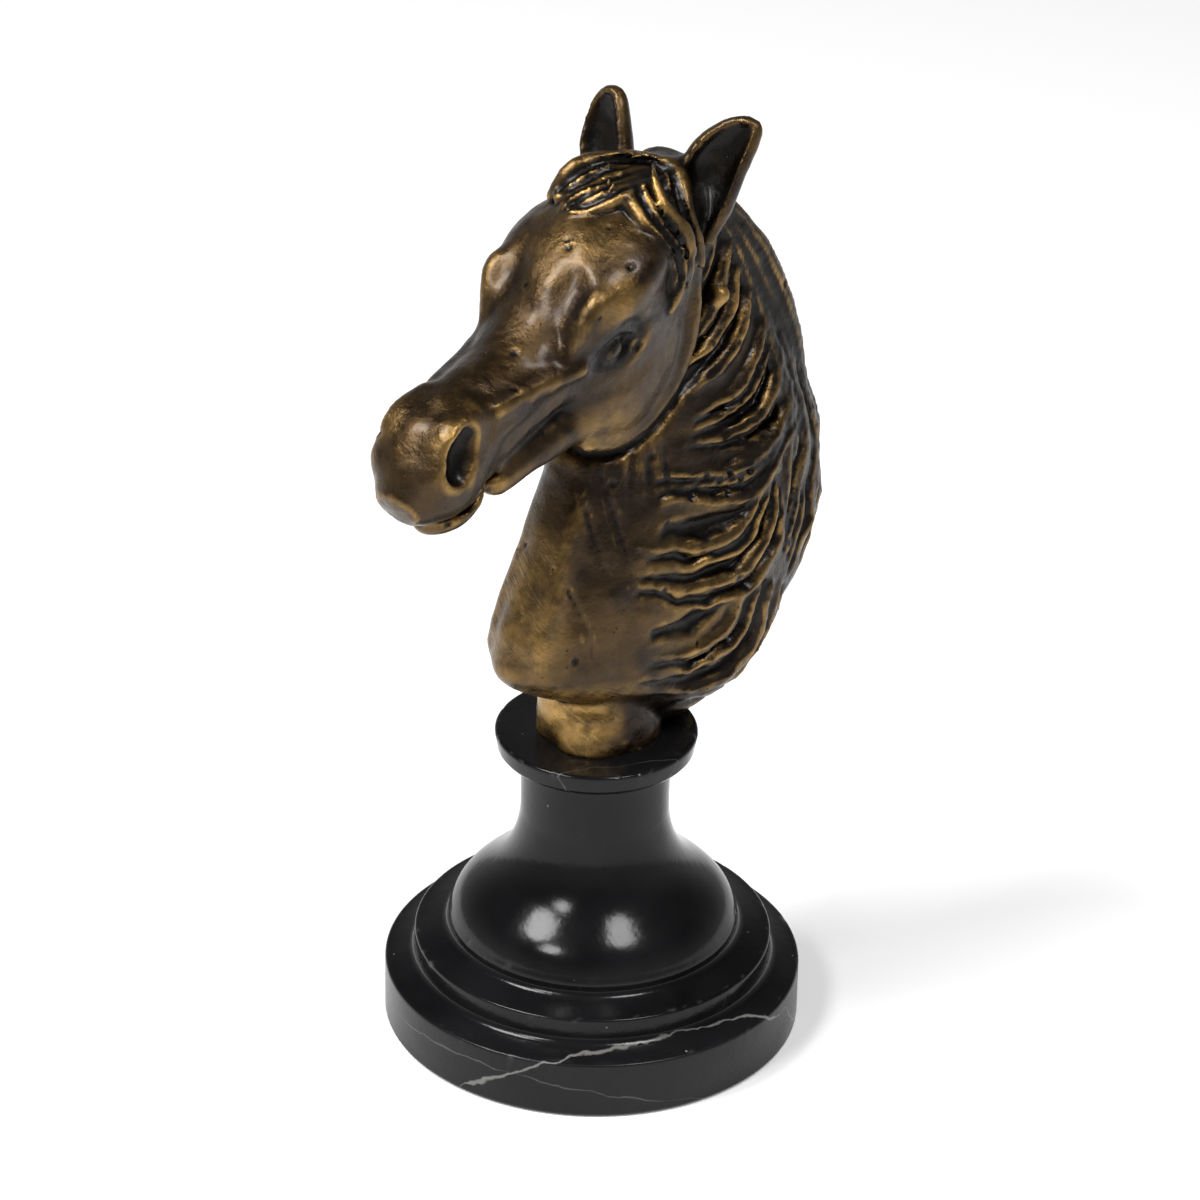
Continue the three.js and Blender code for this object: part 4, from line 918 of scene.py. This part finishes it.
# Ranges of the painted shade in sunk relief, in the hollows and in the gas pits.
SUNK_FINE = (-0.03, -0.2)
SUNK_BROAD = (-0.2, -1.2)
PAINTED_SHADE_FINE = (0.14, -0.02)
PAINTED_SHADE_DEEP = (1.3, 2.2, 0.0, 0.8)
GAS_SCALE = 620.0
GAS_DOT = (0.2, 0.1)
GAS_CHOSEN = (0.9, 0.93)
GAS_PATCHES = (0.46, 0.54)
GAS_WEIGHT = 0.8
OLIVE_PATCHES = (0.4, 0.66)
MANE_DARKENING = (0.0, 0.8, 0.0, 0.85)
BRONZE_ROUGHNESS = (0.35, 0.65, 0.24, 0.44)
FILE_STRETCH = (90.0, 90.0, 0.0)
FILE_SLANT = (900.0, 700.0, 1500.0)
FILED_PLACES = (0.15, 0.5, 0.0, 0.5)
bronze, tree, shader = shader_tree("patinated_bronze")
place = tree.nodes.new("ShaderNodeTexCoord").outputs["Object"]
# Marks read from the skin, the painted shade of the hollows among them.
fine, broad, painted_shade, worn_edge, handled, hair_mark = [
    point_mark(tree, name) for name in ("fine_relief", "broad_relief", "painted_shade", "edge_wear", "rubbed", "mane")
]
patch = noise_at(place, *PATCHES)
small_patch = noise_at(place, *SMALL_PATCHES)

# Gold shows on the ridges and where hands have rubbed, in patches.
worn = plus(remap(fine, *RIDGE_FINE), remap(broad, *RIDGE_BROAD))
worn = times(worn, remap(patch, *RIDGE_PATCHES))
worn = times(worn, worn_edge)
worn = plus(worn, times(handled, remap(small_patch, *RUBBED_PATCHES)))

# Painted shade: black lies in all that is sunk, in the hollows and in the gas pits.
hollow = plus(remap(fine, *SUNK_FINE), remap(broad, *SUNK_BROAD))
hollow = plus(hollow, times(painted_shade, remap(fine, *PAINTED_SHADE_FINE)))
hollow = plus(hollow, remap(painted_shade, *PAINTED_SHADE_DEEP))
gas_cells = wired("ShaderNodeTexVoronoi", {"Vector": place, "Scale": GAS_SCALE}, feature="F1").outputs
gas_chosen = wired("ShaderNodeSeparateXYZ", {0: gas_cells["Color"]}).outputs["X"]
gas = times(remap(gas_cells["Distance"], *GAS_DOT), remap(gas_chosen, *GAS_CHOSEN))
gas = times(times(gas, remap(patch, *GAS_PATCHES)), GAS_WEIGHT)
hollow = plus(hollow, gas)
brown = blend_colours(remap(patch, *OLIVE_PATCHES), PATINA_BROWN, PATINA_OLIVE)
brown = blend_colours(remap(hair_mark, *MANE_DARKENING), brown, MANE_BROWN)
gilded = blend_colours(arithmetic("MINIMUM", worn, 1.0), brown, WORN_GOLD)
# The painted shade darkens the colour towards black.
coloured = blend_colours(arithmetic("MINIMUM", hollow, 1.0), gilded, SHADE_BLACK)
tree.links.new(coloured, shader.inputs["Base Color"])
shader.inputs["Metallic"].default_value = 0.85
shader.inputs["Coat Weight"].default_value = 0.18
shader.inputs["Coat Roughness"].default_value = 0.2
tree.links.new(remap(noise_at(place, *SHEEN_PATCHES), *BRONZE_ROUGHNESS), shader.inputs["Roughness"])

# File marks run aslant on the bare metal, over the fine grain of the mould.
aslant = wired("ShaderNodeCombineXYZ", {"Z": vector("DOT_PRODUCT", place, FILE_SLANT)}).outputs[0]
filed = vector("ADD", vector("MULTIPLY", place, FILE_STRETCH), aslant)
file_marks = times(noise_at(filed, 1.0, 2.0), remap(handled, *FILED_PLACES))
grain = plus(noise_at(place, *GRAIN), file_marks)
grain = arithmetic("SUBTRACT", grain, gas)
bronze_bump = wired("ShaderNodeBump", {"Strength": 0.42, "Distance": 0.0007, "Height": grain})
tree.links.new(bronze_bump.outputs["Normal"], shader.inputs["Normal"])
casting_mesh.materials.append(bronze)
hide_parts("horse_head")
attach(casting, "root")

# Marble socle: one piece of black marble, turned on a lathe and polished, in three stepped rings, a bell
# and a flange that carries the casting. A section is swept round the turning axis. It has pale veins,
# specks and small chips.
PLINTH_RADIUS = 0.042
PLINTH_HEIGHT = 0.0123
MIDDLE_RING_RADIUS = 0.036
MIDDLE_RING_TOP = 0.0189
TOP_RING_RADIUS = 0.0292
TOP_RING_TOP = 0.0233
WAIST_RADIUS = 0.0149
BELL_HEIGHT = 0.0372
FLANGE_RADIUS = 0.0202
RING_BEVEL = 0.0007
RING_DISH = 0.0012
RING_FOOT = 0.0009
BELL_SHOULDER = (0.16, 0.24)
BELL_HOLLOW = (0.1, 0.2)
WAIST_START = 0.62
WAIST_DIP = 0.0002
WAIST_FLARE = 0.0008
EDGE_POINT = 0.0003
RUN_STEP = 0.0025
RUN_END = 0.001
SHORT_RUN = 0.0016
EDGE_REACH = 0.0012
SOCLE_SIDES = 256
CHIP_DEPTH = 0.0004
CHIP_SCALE = 420.0
CHIP_SEED = 7
CHIP_RANGE = {"From Min": 0.62, "From Max": 0.78}
WELD = 0.000001


def bezier_points(knots, steps):
    """Points on a curve of three or four knots, without its first point."""
    points = []
    for i in range(1, steps + 1):
        row = [np.array(knot, float) for knot in knots]
        while len(row) > 1:
            row = [a + (b - a) * i / steps for a, b in zip(row[:-1], row[1:])]
        points.append(tuple(row[0]))
    return points


def ring_section(radius, top, next_radius):
    """One ring of the socle: a rounded edge and a dished top that rises to the foot of the next wall."""
    foot = next_radius + RING_FOOT
    inner, dish = radius - RING_BEVEL, top + RING_DISH
    edge = [(radius, top - RING_BEVEL)]
    edge += bezier_points([(radius, top - RING_BEVEL), (radius, top), (inner, top)], 5)
    edge += bezier_points([(inner, top), ((radius + foot) / 2, top + RING_DISH * 0.25), (foot, dish)], 10)
    return edge + [(next_radius, dish + RING_FOOT)]


flare = TOP_RING_RADIUS - WAIST_RADIUS
flange_underside = TOP_RING_TOP + BELL_HEIGHT
section = [(0.0, 0.0), (PLINTH_RADIUS - RING_BEVEL, 0.0), (PLINTH_RADIUS, RING_BEVEL)]
section += ring_section(PLINTH_RADIUS, PLINTH_HEIGHT, MIDDLE_RING_RADIUS)
section += ring_section(MIDDLE_RING_RADIUS, MIDDLE_RING_TOP, TOP_RING_RADIUS)
section += [(TOP_RING_RADIUS, TOP_RING_TOP - RING_BEVEL), (TOP_RING_RADIUS - RING_BEVEL * 0.5, TOP_RING_TOP)]
section += bezier_points([
    section[-1],
    (TOP_RING_RADIUS - flare * BELL_SHOULDER[0], TOP_RING_TOP + BELL_HEIGHT * BELL_SHOULDER[1]),
    (WAIST_RADIUS + flare * BELL_HOLLOW[0], TOP_RING_TOP + BELL_HEIGHT * BELL_HOLLOW[1]),
    (WAIST_RADIUS, TOP_RING_TOP + BELL_HEIGHT * WAIST_START),
], 32)
section += bezier_points([
    section[-1], (WAIST_RADIUS - WAIST_DIP, TOP_RING_TOP + BELL_HEIGHT * 0.9),
    (WAIST_RADIUS + WAIST_FLARE, flange_underside),
], 12)
section += [(FLANGE_RADIUS - RING_BEVEL * 1.6, flange_underside)]
section += [(FLANGE_RADIUS - RING_BEVEL * 0.8, flange_underside + RING_BEVEL)]
section += [(FLANGE_RADIUS, SEAT_HEIGHT - RING_BEVEL)]
section += bezier_points([
    section[-1], (FLANGE_RADIUS, SEAT_HEIGHT), (FLANGE_RADIUS - RING_BEVEL, SEAT_HEIGHT),
], 5)
section += [(0.0, SEAT_HEIGHT)]

# Long straight runs get points near both ends, so that the polish shades flat up to each edge.
turned_section = [section[0]]
for start, end in zip(section[:-1], section[1:]):
    length = math.dist(start, end)
    stops = [length]
    if length > SHORT_RUN:
        stops = [EDGE_POINT, *np.arange(RUN_STEP, length - RUN_END, RUN_STEP), length - EDGE_POINT, length]
    for stop in stops:
        share = stop / length
        turned_section.append((start[0] + (end[0] - start[0]) * share, start[1] + (end[1] - start[1]) * share))
ring_edges = (
    (PLINTH_RADIUS, PLINTH_HEIGHT), (MIDDLE_RING_RADIUS, MIDDLE_RING_TOP),
    (TOP_RING_RADIUS, TOP_RING_TOP), (FLANGE_RADIUS, SEAT_HEIGHT),
)
edge_share = [
    max(0.0, 1.0 - min(math.dist(spot, corner) for corner in ring_edges) / EDGE_REACH)
    for spot in turned_section
]

section_mesh = bpy.data.meshes.new("socle_section")
section_lines = [(i, i + 1) for i in range(len(turned_section) - 1)]
section_mesh.from_pydata([(radius, 0.0, height) for radius, height in turned_section], section_lines, [])
edge_marks = section_mesh.attributes.new("edge_share", "FLOAT", "POINT")
edge_marks.data.foreach_set("value", np.array(edge_share, np.float32))
socle = bpy.data.objects.new("turned_socle", section_mesh)
bpy.context.collection.objects.link(socle)

# The lathe: a sheet with one row for each section point is wound round the axis, and its seam is welded.
turning = bpy.data.node_groups.new("turned_on_a_lathe", "GeometryNodeTree")
turning.interface.new_socket("Section", in_out="INPUT", socket_type="NodeSocketGeometry")
turning_sizes = (
    ("Sides", "NodeSocketInt", SOCLE_SIDES),
    ("Chip depth", "NodeSocketFloat", CHIP_DEPTH),
    ("Chip scale", "NodeSocketFloat", CHIP_SCALE),
    ("Seed", "NodeSocketInt", CHIP_SEED),
)
sockets = {}
for name, kind, _ in (*turning_sizes, ("Finish", "NodeSocketMaterial", None)):
    sockets[name] = turning.interface.new_socket(name, in_out="INPUT", socket_type=kind)
turning.interface.new_socket("Socle", in_out="OUTPUT", socket_type="NodeSocketGeometry")
given = turning.nodes.new("NodeGroupInput").outputs


def own_place():
    return turning.nodes.new("GeometryNodeInputPosition").outputs[0]


def carried(name):
    node = wired("GeometryNodeInputNamedAttribute", {"Name": name}, turning, data_type="FLOAT")
    return node.outputs["Attribute"]


def marked(geometry, name, value):
    inputs = {"Geometry": geometry, "Name": name, "Value": value}
    return wired("GeometryNodeStoreNamedAttribute", inputs, data_type="FLOAT", domain="POINT").outputs[0]


section_size = wired("GeometryNodeAttributeDomainSize", {"Geometry": given["Section"]}, component="MESH")
rings = section_size.outputs["Point Count"]
sheet_size = {"Size X": 1.0, "Size Y": 1.0, "Vertices X": rings, "Vertices Y": plus(given["Sides"], 1.0)}
sheet = wired("GeometryNodeMeshGrid", sheet_size).outputs["Mesh"]
flat = wired("ShaderNodeSeparateXYZ", {0: own_place()}).outputs
step = times(plus(flat["X"], 0.5), arithmetic("SUBTRACT", rings, 1.0))
ring_number = wired("FunctionNodeFloatToInt", {0: step}, rounding_mode="ROUND").outputs[0]
turn = times(flat["Y"], 2 * math.pi)


def on_section(kind, value):
    """What the section has at the point that a row of the sheet stands for."""
    inputs = {"Geometry": given["Section"], "Value": value, "Index": ring_number}
    return wired("GeometryNodeSampleIndex", inputs, data_type=kind, domain="POINT").outputs[0]


edged = marked(sheet, "ring_edge", on_section("FLOAT", carried("edge_share")))
spot = on_section("FLOAT_VECTOR", own_place())
turned = wired("ShaderNodeVectorRotate", {"Vector": spot, "Angle": turn}, rotation_type="Z_AXIS").outputs[0]
swept = wired("GeometryNodeSetPosition", {"Geometry": edged, "Position": turned}).outputs[0]
closed = wired("GeometryNodeMergeByDistance", {"Geometry": swept, "Distance": WELD}).outputs[0]
outward = wired("GeometryNodeFlipFaces", {"Mesh": closed}).outputs[0]

# Chips are bites out of the ring edges, towards the axis and down.
stone_place = own_place()
chip_noise = {"Vector": stone_place, "W": given["Seed"], "Scale": given["Chip scale"], "Detail": 1.0}
grain = wired("ShaderNodeTexNoise", chip_noise, noise_dimensions="4D").outputs[0]
bite = wired("ShaderNodeMapRange", {"Value": grain, **CHIP_RANGE}).outputs[0]
bite = times(bite, carried("ring_edge"))
inward = vector("NORMALIZE", vector("MULTIPLY", stone_place, (-1.0, -1.0, 0.0)))
inward = vector("ADD", inward, (0.0, 0.0, -0.8))
bitten = vector("SCALE", inward, times(bite, given["Chip depth"]))
chipped = wired("GeometryNodeSetPosition", {"Geometry": outward, "Offset": bitten}).outputs[0]
chipped = marked(chipped, "chip", bite)
smoothed = wired("GeometryNodeSetShadeSmooth", {"Geometry": chipped}).outputs[0]
single = wired("GeometryNodeRealizeInstances", {"Geometry": smoothed}).outputs[0]
finished = wired("GeometryNodeSetMaterial", {"Geometry": single, "Material": given["Finish"]}).outputs[0]
turning.links.new(finished, turning.nodes.new("NodeGroupOutput").inputs[0])

# Colours of the marble. A vein is a filled crack: a bent plane, seen only over a range of heights.
MARBLE_BLACK = (0.003, 0.003, 0.0034)
MARBLE_GREY = (0.009, 0.009, 0.0098)
VEIN_GREY = (0.26, 0.25, 0.235)
SLOW_BEND = (120.0, 0.006)
QUICK_BEND = (160.0, 0.0025)
VEINS = [
    dict(vein="over the plinth's edge", bend=SLOW_BEND, normal=(0.634, -0.192, -0.749), offset=0.0135,
         width=0.0009, patches=75.0, seen=(0.0165, 0.0125), paleness=0.62),
    dict(vein="down the plinth's side", bend=QUICK_BEND, normal=(-0.076, 0.287, 0.955), offset=-0.0044,
         width=0.0003, patches=90.0, seen=(0.014, 0.012), paleness=0.22),
    dict(vein="over the flange", bend=QUICK_BEND, normal=(-0.892, 0.409, -0.192), offset=-0.0279,
         width=0.00022, patches=70.0, seen=(0.058, 0.061), paleness=0.2),
]
VEIN_SWELL = (0.34, 0.68)
VEIN_THINNEST = 0.1
VEIN_EDGE = (1.0, 0.35)
SPECK_SCALE = 300.0
SPECK_DOT = (0.09, 0.04)
SPECK_CHOSEN = (0.78, 0.84)
SPECK_PATCHES = (0.4, 0.58, 0.25, 1.2)
SPECK_PALENESS = 0.7
CHIP_PALENESS = 0.35
CLOUDS = (0.4, 0.7)
SIDE_ROUGHNESS = (0.0410, 0.0418, 0.14, 0.26)
SMEARS = (0.4, 0.75, 0.0, 0.05)
marble, tree, shader = shader_tree("black_marble")
place = tree.nodes.new("ShaderNodeTexCoord").outputs["Object"]
low_down = wired("ShaderNodeSeparateXYZ", {0: place}).outputs["Z"]


def wandering(scale, reach):
    """The object's places, shifted by a noise, so that what is drawn on them wanders."""
    noise = wired("ShaderNodeTexNoise", {"Vector": place, "Scale": scale, "Detail": 4.0}).outputs["Color"]
    return vector("ADD", place, vector("SCALE", vector("ADD", noise, (-0.5, -0.5, -0.5)), reach))


drawn = 0.0
for item in VEINS:
    across = vector("DOT_PRODUCT", wandering(*item["bend"]), item["normal"])
    gap = arithmetic("ABSOLUTE", arithmetic("SUBTRACT", across, item["offset"]))
    widths = item["width"] * VEIN_THINNEST, item["width"]
    swell = remap(noise_at(place, item["patches"], 2.0), *VEIN_SWELL, *widths)
    mark = remap(arithmetic("DIVIDE", gap, swell), *VEIN_EDGE)
    mark = times(times(mark, remap(low_down, *item["seen"])), item["paleness"])
    drawn = arithmetic("MAXIMUM", mark, drawn)
cells = wired("ShaderNodeTexVoronoi", {"Vector": place, "Scale": SPECK_SCALE}, feature="F1").outputs
chosen = wired("ShaderNodeSeparateXYZ", {0: cells["Color"]}).outputs["X"]
speck = times(remap(cells["Distance"], *SPECK_DOT), remap(chosen, *SPECK_CHOSEN))
speck = times(speck, remap(noise_at(place, 40.0, 3.0), *SPECK_PATCHES))
drawn = arithmetic("MAXIMUM", drawn, times(speck, SPECK_PALENESS))
drawn = arithmetic("MAXIMUM", drawn, times(point_mark(tree, "chip"), CHIP_PALENESS))
cloud = blend_colours(remap(noise_at(place, 35.0, 5.0), *CLOUDS), MARBLE_BLACK, MARBLE_GREY)
veined = blend_colours(arithmetic("MINIMUM", drawn, 1.0), cloud, VEIN_GREY)
tree.links.new(veined, shader.inputs["Base Color"])

# The plinth's side is less polished than the rest, and small scratches dull the bell.
from_axis = vector("LENGTH", vector("MULTIPLY", place, (1.0, 1.0, 0.0)))
smears = remap(noise_at(place, 120.0, 6.0), *SMEARS)
tree.links.new(plus(remap(from_axis, *SIDE_ROUGHNESS), smears), shader.inputs["Roughness"])
shader.inputs["Specular IOR Level"].default_value = 0.2
scratches = noise_at(place, 500.0, 4.0)
marble_bump = wired("ShaderNodeBump", {"Strength": 0.2, "Distance": 0.0002, "Height": scratches})
tree.links.new(marble_bump.outputs["Normal"], shader.inputs["Normal"])

lathe = socle.modifiers.new("lathe", "NODES")
lathe.node_group = turning
for name, _, size in turning_sizes:
    lathe[sockets[name].identifier] = size
lathe[sockets["Finish"].identifier] = marble
settled = bpy.context.evaluated_depsgraph_get()
turned_shape = socle.evaluated_get(settled)
socle_mesh = bpy.data.meshes.new_from_object(turned_shape, preserve_all_data_layers=True, depsgraph=settled)
socle.modifiers.remove(lathe)
socle.data = socle_mesh
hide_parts("marble_socle")
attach(socle, "root")

# Studio: a plain pale floor, a room that is white round the horizon and dim above, and soft round lights.
FLOOR_REACH = 3.0
FLOOR_GLOW = 0.2
ROOM_PALE = (0.5, 0.5, 0.5)
ROOM_DIM = (0.1, 0.1, 0.105)
ROOM_HEIGHTS = (0.1, 0.55)
LIGHT_TARGET = Vector((0, 0, 0.06))
floor_mesh = bpy.data.meshes.new("studio_floor")
floor_corners = [(FLOOR_REACH * x, FLOOR_REACH * y, 0) for x, y in ((-1, -1), (1, -1), (1, 1), (-1, 1))]
floor_mesh.from_pydata(floor_corners, [], [(0, 1, 2, 3)])
floor = bpy.data.objects.new("studio_floor", floor_mesh)
bpy.context.collection.objects.link(floor)
paper, tree, shader = shader_tree("pale_paper")
shader.inputs["Base Color"].default_value = (0.9, 0.9, 0.9, 1.0)
shader.inputs["Roughness"].default_value = 0.9
shader.inputs["Emission Color"].default_value = (1.0, 1.0, 1.0, 1.0)
shader.inputs["Emission Strength"].default_value = FLOOR_GLOW
floor_mesh.materials.append(paper)

room = bpy.data.worlds.new("pale_room")
room.use_nodes = True
tree = room.node_tree
looking = tree.nodes.new("ShaderNodeTexCoord").outputs["Generated"]
direction = wired("ShaderNodeSeparateXYZ", {0: looking}).outputs["Z"]
backdrop = blend_colours(remap(direction, *ROOM_HEIGHTS), ROOM_PALE, ROOM_DIM)
tree.links.new(backdrop, tree.nodes["Background"].inputs["Color"])
bpy.context.scene.world = room
bpy.context.scene.view_settings.view_transform = "Standard"


def studio_light(name, azimuth, elevation, distance, size, power):
    """A round soft light that looks at the middle of the object, placed by angles round the camera."""
    turn = CAMERA_AZIMUTH + math.radians(azimuth)
    lift = math.radians(elevation)
    outward = Vector((math.sin(turn) * math.cos(lift), -math.cos(turn) * math.cos(lift), math.sin(lift)))
    data = bpy.data.lights.new(name, "AREA")
    data.shape = "DISK"
    data.size = size
    data.energy = power
    light = bpy.data.objects.new(name, data)
    bpy.context.collection.objects.link(light)
    light.location = LIGHT_TARGET + outward * distance
    light.rotation_euler = outward.to_track_quat("Z", "Y").to_euler()


studio_light("key_light", -71.0, 57.0, 1.2, 0.42, 12.0)
studio_light("second_light", -41.0, 46.0, 1.3, 0.30, 5.5)
studio_light("right_light", 42.0, 63.0, 1.25, 0.38, 7.5)
